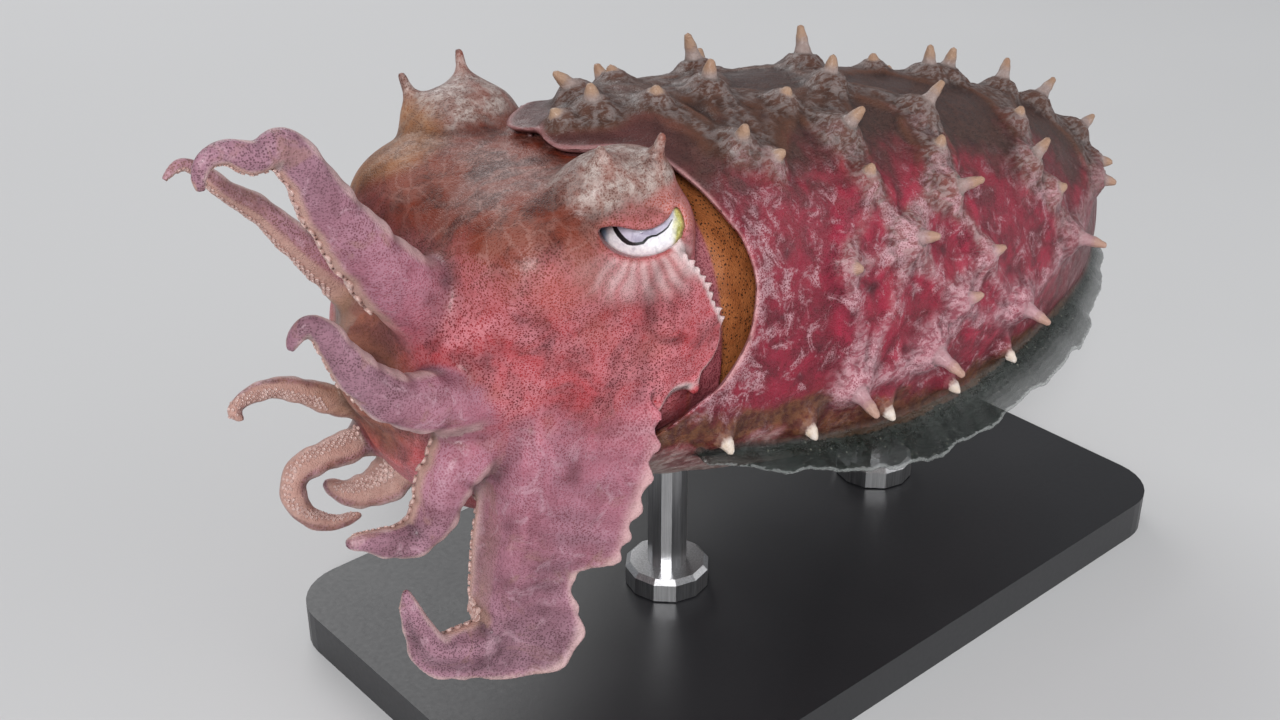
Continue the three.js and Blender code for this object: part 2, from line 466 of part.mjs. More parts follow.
// ---------------------------------------------------------------- display stand
{
  const s = STAND, satin = new THREE.MeshStandardMaterial({ color: 0x2b2b2d, roughness: 0.5, metalness: 0.1 });
  const steel = new THREE.MeshStandardMaterial({ color: 0xb4b6b8, roughness: 0.3, metalness: 1 });
  const x = s.length / 2, y = s.width / 2, r = s.corner;
  const outline = new THREE.Shape();
  outline.moveTo(-x + r, -y);
  outline.lineTo(x - r, -y); outline.absarc(x - r, -y + r, r, -Math.PI / 2, 0, false);
  outline.lineTo(x, y - r); outline.absarc(x - r, y - r, r, 0, Math.PI / 2, false);
  outline.lineTo(-x + r, y); outline.absarc(-x + r, y - r, r, Math.PI / 2, Math.PI, false);
  outline.lineTo(-x, -y + r); outline.absarc(-x + r, -y + r, r, Math.PI, 1.5 * Math.PI, false);
  const plate = new THREE.ExtrudeGeometry(outline, { depth: s.thick, bevelEnabled: false, curveSegments: 4 });
  show(root, "stand_base", solid(plate), satin);
  for (const [name, at] of [["front", s.front], ["rear", s.rear]]) {
    const z0 = s.thick + GAP, top = LIFT - 6;
    const g = new THREE.LatheGeometry([[0, 0], [s.collar, 0], [s.collar, s.collarHigh - 1], [s.collar - 1, s.collarHigh], [s.rod, s.collarHigh], [s.rod, top - z0], [0, top - z0]]
      .map(([a, h]) => new THREE.Vector2(a, h)), 12);
    g.rotateX(Math.PI / 2);
    g.translate(at - STAND_X, 0, z0);
    const body = solid(g).translate([STAND_X, 0, -LIFT]).subtract(mantleGrown).translate([-STAND_X, 0, LIFT]);
    show(root, "stand_rod_" + name, biggest(body), steel);
  }
}
export default root;
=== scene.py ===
# Looks of a life-size cuttlefish on a display stand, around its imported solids.
# Shapes are made in millimetres in the animal's own frame, whose origin is the middle of the mantle's front opening,
# and go out in metres in the row frame. -X is the head's end, -Y the animal's left, +Z up.
import json
import math
import bpy
import numpy as np
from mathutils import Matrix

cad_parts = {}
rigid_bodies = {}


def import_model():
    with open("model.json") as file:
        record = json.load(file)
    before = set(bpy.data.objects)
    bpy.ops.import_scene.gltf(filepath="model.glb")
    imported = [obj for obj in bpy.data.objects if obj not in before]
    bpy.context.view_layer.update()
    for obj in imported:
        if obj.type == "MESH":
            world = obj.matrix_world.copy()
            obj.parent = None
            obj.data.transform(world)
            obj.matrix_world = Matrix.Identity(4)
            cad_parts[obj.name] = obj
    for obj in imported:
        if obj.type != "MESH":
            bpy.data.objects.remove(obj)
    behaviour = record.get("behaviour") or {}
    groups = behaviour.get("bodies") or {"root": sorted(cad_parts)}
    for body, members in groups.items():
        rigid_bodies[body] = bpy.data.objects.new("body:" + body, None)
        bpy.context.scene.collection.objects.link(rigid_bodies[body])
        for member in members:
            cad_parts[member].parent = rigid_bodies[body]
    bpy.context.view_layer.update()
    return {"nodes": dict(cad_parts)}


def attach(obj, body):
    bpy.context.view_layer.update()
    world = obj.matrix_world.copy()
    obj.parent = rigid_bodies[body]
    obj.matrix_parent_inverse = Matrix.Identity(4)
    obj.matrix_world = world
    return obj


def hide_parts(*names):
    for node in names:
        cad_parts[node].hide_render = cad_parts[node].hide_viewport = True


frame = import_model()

import openvdb as vdb
from mathutils import Matrix, Vector
from mathutils.bvhtree import BVHTree
from mathutils.kdtree import KDTree

SEED = 7
VOX = 0.5  # grid step of the skin, mm
BAND = 9 * VOX
OFFSET = np.array([-50.0, 0.0, 80.0])
rng = np.random.default_rng(SEED)


def world(p):
    return (np.asarray(p, float) + OFFSET) / 1000.0


# ---------------------------------------------------------------- sizes, mm
MANTLE = dict(length=159.0, half=38.5, dorsal=47.5, ventral=28.5, pitch=math.radians(16), arch=20.0, power=3.05,
              shoulder=0.1, wp=0.58, dp=0.5, vp=2.2, fp=3.5, section=2.15)
RIM = np.array([[0, -15.2], [5, -16.6], [9, -16.8], [13, -15.6], [17, -13.2], [21, -9.5], [25, -6], [30, -3], [36, -0.5], [43, 2.5],
                [50, 5.5], [57, 9], [69, 11.5], [78, 11], [86, 8.5], [95, 2.5], [103, -2], [110, -6], [140, -9], [180, -10]], float)
WALL = 2.6  # thickness of the mantle's free edge
FIN = dict(start=8.0, width=12.5, droop=34.0, wave=9.0, length=62.0, root=2.2, edge=0.9)
# axial place, angle round from the back's midline (left negative), height, lean along, lean round
PAPILLAE = [
    (-4, 6, 5.0, -3.4, 0.6), (-12, -3, 2.6, -1.0, -0.4), (8, 12, 2.6, -0.6, 0.2), (30, 14, 7.2, -2.4, -1.0),
    (55, 7, 7.8, -0.6, 1.2), (77, 7, 3.0, -1.0, -0.3), (90, 1, 6.2, -1.4, 0.0), (96, 0, 6.4, -1.2, -1.2),
    (113, -3, 6.8, 1.5, -1.6), (123, -10, 6.6, 4.6, -1.6), (135, -24, 5.4, 3.6, -1.6), (136, -42, 4.0, 1.2, 1.4),
    (133, -51, 4.2, 1.6, 1.8), (113, -70, 7.2, 1.6, 1.8), (-6.5, -5, 5.0, -0.4, -0.2), (19, -6, 5.6, -0.5, -0.1),
    (5, -9, 2.8, -0.5, 0.1), (14, -31, 4.8, -1.2, -0.6), (19, -37, 3.2, 1.2, -0.2), (32, -16, 2.8, 0.2, 0.0),
    (48, -10, 5.4, -0.4, -0.6), (40, -30, 5.8, 1.6, -0.4), (67, -24, 6.0, 3.4, -1.8), (41, -45, 3.2, -0.6, -1.6),
    (64, -39, 3.4, -0.6, -1.6), (64, -50, 5.8, 3.8, -0.2), (96, -44, 5.4, 1.6, -2.6), (100, -28, 3.2, -0.6, -1.0),
    (50, -61, 5.2, 2.0, 0.2), (75, -68, 3.6, 1.4, -1.2), (33, -66, 3.0, 0.8, 0.2), (67, -78, 3.8, 2.0, -1.4),
    (91, -84, 7.0, 1.2, 2.2), (60, -88, 7.8, 1.4, 2.6), (39, -94, 7.2, 0.8, 2.4), (104, -54, 3.2, 0.6, -0.2)]
MIRROR_ABOVE = 27
FIN_BASE = dict(first=11, step=20, count=5, angle=109, height=3.4)
HEAD = np.array([[5, 4, 31, 33, -21], [-2, 5, 31.5, 35.6, -24], [-10, 4, 31.2, 35.4, -26.5], [-18, 2, 30, 33.4, -28],
                 [-25, 0, 27, 30, -27], [-31, -2, 22, 25, -24], [-36, -3, 16, 17.5, -20], [-39.5, -3, 9.5, 9, -14]], float)
NECK = np.array([[-6, 4, 29.6, 33, -22], [4, 3.5, 30.6, 33, -23], [12, 2, 30.6, 32, -24], [24, -2, 29.5, 29, -24]], float)
EYE = np.array([-1.1, 22.7, 25.8])
EYE_R = 8.0
EYE_LOOK = np.array([-0.62, 0.71, 0.33])
EYE_BULGE = ((-3.4, 20.8, 26.2), (12.0, 10.2, 10.2))
FOREHEAD = ((-18.5, 16.2, 23.6), (13.0, 12.8, 10.6))
BROW = ((-5.8, 21.4, 35.4), (10.0, 7.2, 5.4))
BROW_PAPILLAE = {-1: [((-1.6, -25.4, 37.0), (-1.0, -27.4, 43.4), 2.6), ((-9.6, -22.6, 37.6), (-10.4, -23.4, 42.4), 2.0)],
                 1: [((-2.0, 25.0, 37.6), (-1.2, 27.6, 44.2), 2.8), ((-12.8, 24.2, 35.6), (-14.2, 26.8, 42.8), 2.8)]}
MOUTH = ((-36.5, 2.5, 3.5), (9.0, 10.0, 12.0))
FUNNEL = dict(a=(6, 0, -25), b=(-13, 0, -33), root=10.0, tip=5.2, bore=3.6, depth=9.0)
VIEW = np.array([-0.579, -0.661, 0.477])  # where the broad faces of the arms look
ARMS = {
    "left_1": dict(path=[(-28.5, -8, 12), (-40.1, -9, 23), (-47, -9, 32.4), (-51.3, -8, 39.9), (-54.2, -7.5, 46.1), (-57.1, -7, 50),
                         (-61.2, -6.5, 49.2), (-65.3, -6, 51), (-68.5, -6, 50.6), (-69.9, -6, 48.5), (-69.9, -6, 46.2)],
                   width=(7.6, 0.09, 0.85, 0.6), thick=(5.8, 0.12, 0.75, 2.2)),
    "right_1": dict(path=[(-25.5, 10.5, 4), (-34, 9.6, 11.4), (-40.6, 9, 18), (-47.8, 8, 26.5), (-54.4, 8, 34.8), (-59.6, 7.5, 39.4),
                          (-63.6, 7, 43.9), (-66.8, 6.5, 45.8), (-70, 6, 44.3)],
                    width=(4.4, 0.1, 0.78, 3.0), thick=(4.2, 0.14, 0.72, 3.6)),
    "left_2": dict(path=[(-22, -14.5, 5.4), (-33.4, -17, 4.4), (-41.9, -18, 6.2), (-48.6, -18, 9.5), (-53.4, -17.5, 14.6),
                         (-56.5, -17, 19.6), (-58.5, -16.5, 23.7), (-60.9, -16, 25.5), (-62.7, -15.5, 24.1), (-63.6, -15, 22)],
                   width=(6.8, 0.08, 0.72, 1.2), thick=(6.8, 0.1, 0.7, 0.8)),
    "right_2": dict(path=[(-21, 17.5, -2), (-32, 14.5, -6.6), (-40.4, 12, -7.2), (-47.5, 12, -2.8), (-52.4, 12.4, -0.2),
                          (-56.3, 12.4, 0.4), (-59.6, 12, 0.1), (-61.6, 11.4, -0.9), (-60.4, 11, -2.8)],
                    width=(3.9, 0.12, 0.62, 4.2), thick=(4.2, 0.14, 0.62, 3.4)),
    "left_3": dict(path=[(-27, -16, -2), (-37.1, -19, -5.2), (-41.3, -19.5, -9), (-44, -20, -13.5), (-47.4, -19.5, -16.4),
                         (-52.1, -19, -15.8), (-56.1, -18.5, -14), (-59.4, -18, -13.2)],
                   width=(6.3, 0.1, 0.68, 1.4), thick=(6.2, 0.12, 0.68, 1.2)),
    "right_3": dict(path=[(-20, 17, -12), (-30, 14, -15.4), (-39, 12, -16.4), (-46.3, 11.6, -16.3), (-51.1, 11.6, -17.3),
                          (-52.8, 11, -19.7), (-52.2, 10.5, -23.7), (-49.6, 10, -27.3), (-45.7, 9.5, -29.3), (-40.8, 9.5, -29.7)],
                    width=(3.9, 0.1, 0.55, 4.0), thick=(4.0, 0.14, 0.55, 3.2)),
    "right_4": dict(path=[(-13, 13, -8), (-18, 16, -17), (-23.5, 18, -26), (-30, 18.5, -31.6), (-37, 19.5, -31.6), (-41.5, 20.5, -28)],
                    width=(8.8, 0.08, 0.7, 2.0), thick=(6.0, 0.12, 0.7, 1.5)),
    "left_4": dict(path=[(-13.5, -17, 10), (-20, -24.4, -2), (-23.6, -27, -11), (-26.4, -27, -19.6), (-28.8, -27, -25.9),
                         (-31, -26.5, -31.8), (-33.2, -26, -37.3), (-37.8, -25.5, -40.9), (-44, -25, -39.4), (-48.8, -24.5, -36.5),
                         (-51, -24, -30.9), (-52.4, -24, -25.7), (-52.9, -24, -22.4)],
                   front=[(0, 12), (.12, 14.6), (.22, 14.4), (.32, 13), (.42, 12), (.5, 11), (.58, 9.2), (.66, 7.6), (.74, 5.4),
                          (.82, 3.8), (.9, 2.4), (.96, 1.6), (1, .6)],
                   keel=[(0, 9), (.12, 14.2), (.225, 16.2), (.3, 15), (.343, 14.2), (.4, 14.4), (.44, 13), (.462, 9.5), (.48, 7), (.515, 7.7),
                         (.55, 10), (.592, 11.6), (.62, 11.8), (.645, 10.6), (.67, 8.4), (.7, 5.2), (.74, 4.2), (.82, 4), (.9, 2.6), (.96, 1.7), (1, .7)],
                   thick=(8.6, 0.1, 0.75, 0.0), keel_thick=0.9, core=-0.3, spread=0.55, scallop=0.045, scallops=19),
}

# soft spots: x, y, z, radius, strength
DARK_SPOTS = [(-33.5, -13.6, 23.8, 1.7, .8), (-28.5, -24.6, 18.7, 1.4, .6), (-33.3, -22.3, 12.5, 1.5, .8), (-14.4, -30.7, 4.7, 1.2, .6),
              (-20.2, -29.6, .5, 1.5, .7), (-23.9, -31.3, -8.6, 2.0, .85), (-33.4, -26.6, -17, 1.5, .7), (-35.6, -27.5, -27.1, 1.5, .7),
              (-32.8, -22.8, -9.5, 1.4, .6), (-39.7, -25.6, -36, 1.2, .6), (-38.1, -14.2, 21.7, 1.3, .6), (-25, -26.5, 14, 1.2, .5),
              (-24, 29, 10, 1.6, .7), (-14, 31, 2, 1.5, .6), (-30, 24, 14, 1.4, .7), (-8, 33, 8, 1.4, .6)]
RED_SPOTS = [(-33.3, -23.6, 6.6, 1.5, .8), (-36.2, -21.7, 9.3, 1.3, .7), (-26.2, -27.9, .6, 1.4, .7), (-16.2, -29.7, 14.9, 3.2, .7),
             (-23.3, -28.5, 22.1, 4.0, .6), (-6.8, -31.2, 9.5, 3.2, .6), (-12, 31, 14, 3.4, .6), (-22, 29, 20, 3.6, .6)]
MANTLE_SPOTS = [(25.3, -31.6, 17, 1.3, .8), (43.9, -35.8, 5.6, 1.6, .9), (37.6, -36.7, 2.7, 1.1, .8), (20.5, -34.8, 6.3, 1.2, .6), (25, -36.3, -6.5, 1.3, .8),
                (41.9, -30.7, 18.6, 1.1, .6), (21.2, -27.4, 24.6, 1.0, .6), (66, -34.3, 5.7, 1.3, .7), (73.4, -37.2, -10.1, 1.4, .7),
                (35.7, -14.2, 34.4, 1.2, .5), (88.4, -21.7, 18.6, 1.3, .6), (85, -7.5, 26.9, 1.2, .6), (29.5, -36.5, -2.1, 1.1, .7),
                (51.8, -38.1, -9.3, 1.2, .7), (88, -34.4, -5.2, 1.2, .7), (101.9, -31, -1.5, 1.1, .6), (25.2, -13.6, 36.2, 1.2, .5),
                (30, 33, 10, 1.3, .8), (50, 36, 4, 1.5, .8), (72, 35, 2, 1.3, .7), (40, 36, -6, 1.2, .7), (60, 30, 18, 1.2, .6), (92, 32, -2, 1.3, .7),
                (52, -15.4, 32.2, 1.1, .5), (60, 12, 33, 1.2, .5)]

# ---------------------------------------------------------------- small tools


def unit(v):
    v = np.asarray(v, float)
    return v / np.maximum(np.linalg.norm(v, axis=-1, keepdims=True), 1e-12)


def step(a, b, v):
    t = np.clip((np.asarray(v, float) - a) / (b - a), 0, 1)
    return t * t * (3 - 2 * t)


def curve_table(rows, v):
    """A smooth line through the rows, which doesn't overshoot them."""
    rows = np.asarray(rows, float)
    if rows[0, 0] > rows[-1, 0]:
        rows = rows[::-1]
    x, y = rows[:, 0], rows[:, 1]
    h, d = np.diff(x), np.diff(y) / np.diff(x)
    m = np.zeros(len(x))
    m[0], m[-1] = d[0], d[-1]
    for i in range(1, len(x) - 1):
        if d[i - 1] * d[i] > 0:
            a, b = 2 * h[i] + h[i - 1], h[i] + 2 * h[i - 1]
            m[i] = (a + b) / (a / d[i - 1] + b / d[i])
    v = np.clip(np.asarray(v, float), x[0], x[-1])
    i = np.clip(np.searchsorted(x, v, side="right") - 1, 0, len(x) - 2)
    t = (v - x[i]) / h[i]
    return ((2 * t**3 - 3 * t**2 + 1) * y[i] + (t**3 - 2 * t**2 + t) * h[i] * m[i]
            + (-2 * t**3 + 3 * t**2) * y[i + 1] + (t**3 - t**2) * h[i] * m[i + 1])


def catmull(points, n):
    """n points at even steps along a smooth line through the points, and its length."""
    p = np.asarray(points, float)
    k = len(p)
    d = np.linalg.norm(np.diff(p, axis=0), axis=1) ** 0.5
    t = np.concatenate([[0], np.cumsum(d)])
    m = np.zeros_like(p)
    m[0], m[-1] = (p[1] - p[0]) / d[0], (p[-1] - p[-2]) / d[-1]
    for i in range(1, k - 1):
        m[i] = ((p[i] - p[i - 1]) / d[i - 1] * d[i] + (p[i + 1] - p[i]) / d[i] * d[i - 1]) / (d[i - 1] + d[i])
    u = np.linspace(0, t[-1], 600)
    i = np.clip(np.searchsorted(t, u, side="right") - 1, 0, k - 2)
    h = (t[i + 1] - t[i])[:, None]
    x = (u - t[i])[:, None] / h
    q = ((2 * x**3 - 3 * x**2 + 1) * p[i] + (x**3 - 2 * x**2 + x) * h * m[i]
         + (-2 * x**3 + 3 * x**2) * p[i + 1] + (x**3 - x**2) * h * m[i + 1])
    s = np.concatenate([[0], np.cumsum(np.linalg.norm(np.diff(q, axis=0), axis=1))])
    v = np.linspace(0, s[-1], n)
    return np.stack([np.interp(v, s, q[:, j]) for j in range(3)], -1), s[-1]


def loft(rings, start=None, end=None):
    """A closed surface from rings of equal counts, capped by fans."""
    r = np.asarray(rings, float)
    n, m, _ = r.shape
    i, j = np.arange(n - 1)[:, None], np.arange(m)[None]
    a, b, c, d = i * m + j, i * m + (j + 1) % m, (i + 1) * m + (j + 1) % m, (i + 1) * m + j
    f = [np.stack([a, b, c], -1).reshape(-1, 3), np.stack([a, c, d], -1).reshape(-1, 3)]
    j = np.arange(m)
    f.append(np.stack([j, np.full(m, n * m), (j + 1) % m], -1))
    f.append(np.stack([(n - 1) * m + j, (n - 1) * m + (j + 1) % m, np.full(m, n * m + 1)], -1))
    v = np.concatenate([r.reshape(-1, 3), (r[0].mean(0) if start is None else np.asarray(start, float))[None],
                        (r[-1].mean(0) if end is None else np.asarray(end, float))[None]])
    return v, np.concatenate(f)


def ellipsoid(c, r, n=48, m=72):
    a, th = np.linspace(0.01, math.pi - 0.01, n)[:, None], np.linspace(0, 2 * math.pi, m, endpoint=False)[None]
    p = np.stack([np.cos(a) + 0 * th, np.sin(a) * np.cos(th), np.sin(a) * np.sin(th)], -1)
    return loft(p * np.asarray(r, float) + np.asarray(c, float))


# ---------------------------------------------------------------- mantle shape
CP, SP = math.cos(MANTLE["pitch"]), math.sin(MANTLE["pitch"])


def turn(p):
    x, y, z = p[..., 0], p[..., 1], p[..., 2]
    return np.stack([CP * x + SP * z, y, -SP * x + CP * z], -1)


def unturn(p):
    x, y, z = p[..., 0], p[..., 1], p[..., 2]
    return np.stack([CP * x - SP * z, y, SP * x + CP * z], -1)


def mantle_sizes(x):
    g = MANTLE
    t = np.asarray(x, float) / g["length"]
    b = np.clip(1 - np.clip((t - g["shoulder"]) / (1 - g["shoulder"]), 0, 1) ** g["power"], 0, 1)
    f = 0.9 + 0.1 * np.clip(t / 0.3, 0, 1)
    return dict(a=g["half"] * b ** g["wp"] * f, up=g["dorsal"] * b ** g["dp"] * f,
                down=g["ventral"] * b ** g["vp"] * f + 1.5 * b**0.5, fin=g["ventral"] * b ** g["fp"] * f * 0.5,
                rise=g["arch"] * np.clip(t, 0, 1) ** 2, droop=np.where(x < 10, 0.0118 * (10 - x) ** 2, 0.0))


def mantle_point(x, phi, side, inset=0.0):
    x, phi, side = np.broadcast_arrays(np.asarray(x, float), np.asarray(phi, float), np.asarray(side, float))
    q, e = mantle_sizes(x), 2 / MANTLE["section"]
    s, c = np.abs(np.sin(phi)) ** e, np.cos(phi)
    h = np.abs(c) ** e
    z = np.where(c >= 0, (q["up"] - inset) * h - q["droop"] * c, -(q["down"] - inset) * h) + q["rise"]
    return turn(np.stack([x, side * (q["a"] - inset) * s, z], -1))


def mantle_frame(x, phi, side):
    """Point, outward normal, direction along the body and round it."""
    p = mantle_point(x, phi, side)
    a = unit(mantle_point(x + 0.4, phi, side) - mantle_point(x - 0.4, phi, side))
    b = unit(mantle_point(x, phi + 0.02, side) - mantle_point(x, phi - 0.02, side))
    n = unit(np.cross(a, b))
    c = turn(np.array([x, 0.0, float(mantle_sizes(x)["rise"])]))
    return p, (n if n @ (p - c) > 0 else -n), a, b


def mantle_rings(inset, ahead, length, n=120, m=150):
    th = 2 * math.pi * (np.arange(m) + 0.5) / m
    side, phi = np.where(th <= math.pi, 1.0, -1.0), np.where(th <= math.pi, th, 2 * math.pi - th)
    e = curve_table(RIM, np.degrees(phi)) - ahead
    k = 1 - (1 - np.linspace(0, 1, n)) ** 1.35
    if length is None:
        return [mantle_point(e + q * (MANTLE["length"] * 0.9992 - e), phi, side, inset) for q in k]
    return [mantle_point(e + q * length, phi, side, inset) for q in np.linspace(0, 1, n)]


def fin_blade(side, n=150):
    """Rings of a fin's blade, and its middle sheet for masks."""
    rings, sheet = [], []
    end = MANTLE["length"] - 1.5
    for i in range(n + 1):
        s = i / n
        x = FIN["start"] + s * (end - FIN["start"])
        q = mantle_sizes(x)
        root = turn(np.array([x, side * q["a"] * math.cos(math.radians(30)), -q["fin"] + q["rise"]], float))
        w = FIN["width"] * min(1, 0.28 + 2.4 * s, 0.3 + 2.6 * (1 - s)) * (1 + 0.035 * math.sin(x / 3.1) + 0.02 * math.sin(x / 1.3))
        drp = math.radians(FIN["droop"] + FIN["wave"] * math.sin(2 * math.pi * x / FIN["length"]))
        back = min(max((s - 0.78) / 0.22, 0), 1) ** 1.5 * math.radians(40)
        out = unit([math.sin(back), side * math.cos(drp) * math.cos(back), -math.sin(drp) * math.cos(back * 0.8)])
        up = unit([0, side * math.sin(drp), math.cos(drp)])
        start = root - 2.5 * out
        row, mid = [], []
        ks = np.linspace(0, 1, 12)
        for k in ks:
            ripple = 0.55 * k**1.5 * math.sin(x / 2.1 + side) + 0.3 * k**2 * math.sin(x / 0.9)
            mid.append(start + out * k * (w + 2.5) + up * ripple)
        t = FIN["root"] / 2 * (1 - ks) ** 1.3 + FIN["edge"] / 2
        for k in range(12):
            row.append(mid[k] + up * t[k])
        for k in range(11, -1, -1):
            row.append(mid[k] - up * t[k])
        rings.append(row)
        sheet.append(mid)
    return np.array(rings), np.array(sheet)


# ---------------------------------------------------------------- head, arms


def sections(rows, n=70, m=96):
    x = np.linspace(rows[0, 0], rows[-1, 0], n)
    cols = [curve_table(rows[:, [0, j]], x) for j in range(1, 5)]
    th, e = 2 * math.pi * (np.arange(m) + 0.5) / m, 2 / 2.4
    s, c = np.sin(th), np.cos(th)
    out = []
    for i in range(n):
        zc, w, top, bot = (col[i] for col in cols)
        z = zc + np.where(c >= 0, top - zc, zc - bot) * np.sign(c) * np.abs(c) ** e
        out.append(np.stack([np.full(m, x[i]), w * np.sign(s) * np.abs(s) ** e, z], -1))
    return loft(out)


def taper(spec, s):
    root, tip, power, swell = spec
    return root * (tip + (1 - tip) * (1 - s) ** power) + swell * np.exp(-((s / 0.16) ** 2))


def arm_lines(spec, n=170):
    """Middle line, tangent, face normal, width direction, half-widths and half-thickness of an arm."""
    p, length = catmull(spec["path"], n)
    t = unit(np.gradient(p, axis=0))
    face = unit(VIEW - (t @ VIEW)[:, None] * t)
    b = np.cross(face, t)
    s = np.linspace(0, 1, n)
    h = taper(spec["thick"], s)
    if "keel" in spec:
        wf = curve_table(spec["front"], s)
        wk = curve_table(spec["keel"], s)
    else:
        wf = wk = taper(spec["width"], s)
    return dict(p=p, t=t, n=face, b=b, s=s, h=h, wf=wf, wk=wk, length=length)


def arm_mesh(spec, line, m=40):
    a = 2 * math.pi * (np.arange(m) + 0.5) / m
    u, v = np.cos(a), np.sin(a)
    rings = []
    for i in range(len(line["s"])):
        s, h, wf, wk = line["s"][i], line["h"][i], line["wf"][i], line["wk"][i]
        if "keel" in spec:
            e = min(spec["keel_thick"], h * 0.6)
            th = (e + (h - e) * np.exp(-(((u - spec["core"]) / spec["spread"]) ** 2))) * np.abs(v) ** 0.45
            wave = spec["scallop"] * (math.sin(s * spec["scallops"] * 2 * math.pi) + 0.5 * math.sin(s * 41.0 + 1.0))
            wk = wk * (1 + wave)
        else:
            th = np.maximum(0.35, h * np.abs(v) ** 0.85)
            wk = wf = wf * (1 + 0.05 * step(0.15, 0.4, s) * (math.sin(s * 47.0) + 0.6 * math.sin(s * 91.0 + 2.0)))
        w = np.where(u >= 0, wk, wf)
        rings.append(line["p"][i] + line["b"][i] * (w * u)[:, None] + line["n"][i] * (np.sign(v) * th)[:, None])
    return loft(rings)


# ---------------------------------------------------------------- distance fields
LO, HI = np.array([-80.0, -58.0, -60.0]), np.array([168.0, 58.0, 62.0])
ORG = np.floor(LO / VOX).astype(int)
DIM = tuple(np.ceil((HI - LO) / VOX).astype(int) + 1)


def block(lo, hi, pad):
    a = np.clip(np.floor((np.asarray(lo) - pad) / VOX).astype(int) - ORG, 0, np.array(DIM) - 2)
    b = np.clip(np.ceil((np.asarray(hi) + pad) / VOX).astype(int) - ORG + 1, a + 1, DIM)
    return a, tuple(slice(int(p), int(q)) for p, q in zip(a, b))


def distances(v, f, a, sl, band=None):
    band = band or BAND
    g = vdb.FloatGrid.createLevelSetFromPolygons(
        np.ascontiguousarray(v, np.float32), triangles=np.ascontiguousarray(f, np.uint32),
        transform=vdb.createLinearTransform(VOX), halfWidth=band / VOX)
    out = np.full([s.stop - s.start for s in sl], band, np.float32)
    g.copyToArray(out, ijk=tuple(int(q) for q in a + ORG))
    return out


def places(a, sl):
    ax = [(np.arange(s.start, s.stop) + ORG[i]) * VOX for i, s in enumerate(sl)]
    return np.stack(np.meshgrid(*ax, indexing="ij"), -1).astype(np.float32)


def smin(a, b, k):
    h = np.clip(0.5 + 0.5 * (b - a) / k, 0, 1)
    return b + (a - b) * h - k * h * (1 - h)


def new_field():
    return np.full(DIM, BAND, np.float32)


def add(field, shape, k, band=None):
    """Joins a closed surface to the field with a fillet of about k."""
    v, f = shape
    a, sl = block(v.min(0), v.max(0), (band or BAND) + VOX)
    d = distances(v, f, a, sl, band)
    if callable(k):
        k = k(places(a, sl))
    field[sl] = smin(field[sl], d, k).astype(np.float32)


def cut(field, shape, k):
    v, f = shape
    a, sl = block(v.min(0), v.max(0), BAND + VOX)
    d = distances(v, f, a, sl)
    field[sl] = -smin(-field[sl], d, k).astype(np.float32)


def round_cone(p, a, b, r1, r2):
    """Distance from points p to a cone with round ends."""
    a, b = np.asarray(a, np.float32), np.asarray(b, np.float32)
    ba = b - a
    l2 = float(ba @ ba)
    rr = r1 - r2
    a2 = l2 - rr * rr
    il2 = 1.0 / l2
    pa = p - a
    y = pa @ ba
    z = y - l2
    x2 = ((pa * l2 - ba * y[..., None]) ** 2).sum(-1)
    y2, z2 = y * y * l2, z * z * l2
    k = np.sign(rr) * rr * rr * x2
    c1 = np.sign(z) * a2 * z2 > k
    c2 = np.sign(y) * a2 * y2 < k
    d1 = np.sqrt(x2 + z2) * il2 - r2
    d2 = np.sqrt(x2 + y2) * il2 - r1
    d3 = (np.sqrt(np.maximum(x2 * a2 * il2, 0)) + y * rr) * il2 - r1
    return np.where(c1, d1, np.where(c2, d2, d3))


def add_chain(field, pts, radii, k, inner=0.4):
    """Joins a chain of round cones."""
    pts, radii = np.asarray(pts, float), np.asarray(radii, float)
    pad = max(k, 1.0) * 2 + radii.max() + 1.0
    a, sl = block(pts.min(0), pts.max(0), pad)
    q = places(a, sl)
    d = None
    for i in range(len(pts) - 1):
        e = round_cone(q, pts[i], pts[i + 1], radii[i], radii[i + 1])
        d = e if d is None else smin(d, e, inner)
    field[sl] = smin(field[sl], np.minimum(d, BAND), k).astype(np.float32)


def add_ball(field, c, r, k, reach=12.0):
    """Joins an ellipsoid with a wide fillet."""
    c, r = np.asarray(c, np.float32), np.asarray(r, np.float32)
    a, sl = block(c - r, c + r, reach)
    q = places(a, sl) - c
    k0 = np.sqrt(((q / r) ** 2).sum(-1))
    k1 = np.sqrt(((q / (r * r)) ** 2).sum(-1))
    field[sl] = smin(field[sl], k0 * (k0 - 1) / np.maximum(k1, 1e-6), k).astype(np.float32)


def noise3(p, cell, seed):
    """Soft value noise from -1 to 1 at points p, with lumps of about cell."""
    g = np.random.default_rng(seed).random((32, 32, 32)) * 2 - 1
    q = np.asarray(p, float) / cell
    i = np.floor(q).astype(int)
    t = q - i
    t = t * t * (3 - 2 * t)
    out = np.zeros(q.shape[:-1])
    for dx in (0, 1):
        for dy in (0, 1):
            for dz in (0, 1):
                w = (t[..., 0] if dx else 1 - t[..., 0]) * (t[..., 1] if dy else 1 - t[..., 1]) * (t[..., 2] if dz else 1 - t[..., 2])
                out += w * g[(i[..., 0] + dx) % 32, (i[..., 1] + dy) % 32, (i[..., 2] + dz) % 32]
    return out


def sample(field, p):
    """The field at points, between its grid values."""
    q = np.clip(p / VOX - ORG, 0, np.array(DIM) - 1.001)
    i = q.astype(int)
    t = q - i
    x, y, z = i[:, 0], i[:, 1], i[:, 2]
    out = np.zeros(len(p))
    for dx in (0, 1):
        for dy in (0, 1):
            for dz in (0, 1):
                w = (t[:, 0] if dx else 1 - t[:, 0]) * (t[:, 1] if dy else 1 - t[:, 1]) * (t[:, 2] if dz else 1 - t[:, 2])
                out += w * field[x + dx, y + dy, z + dz]
    return out


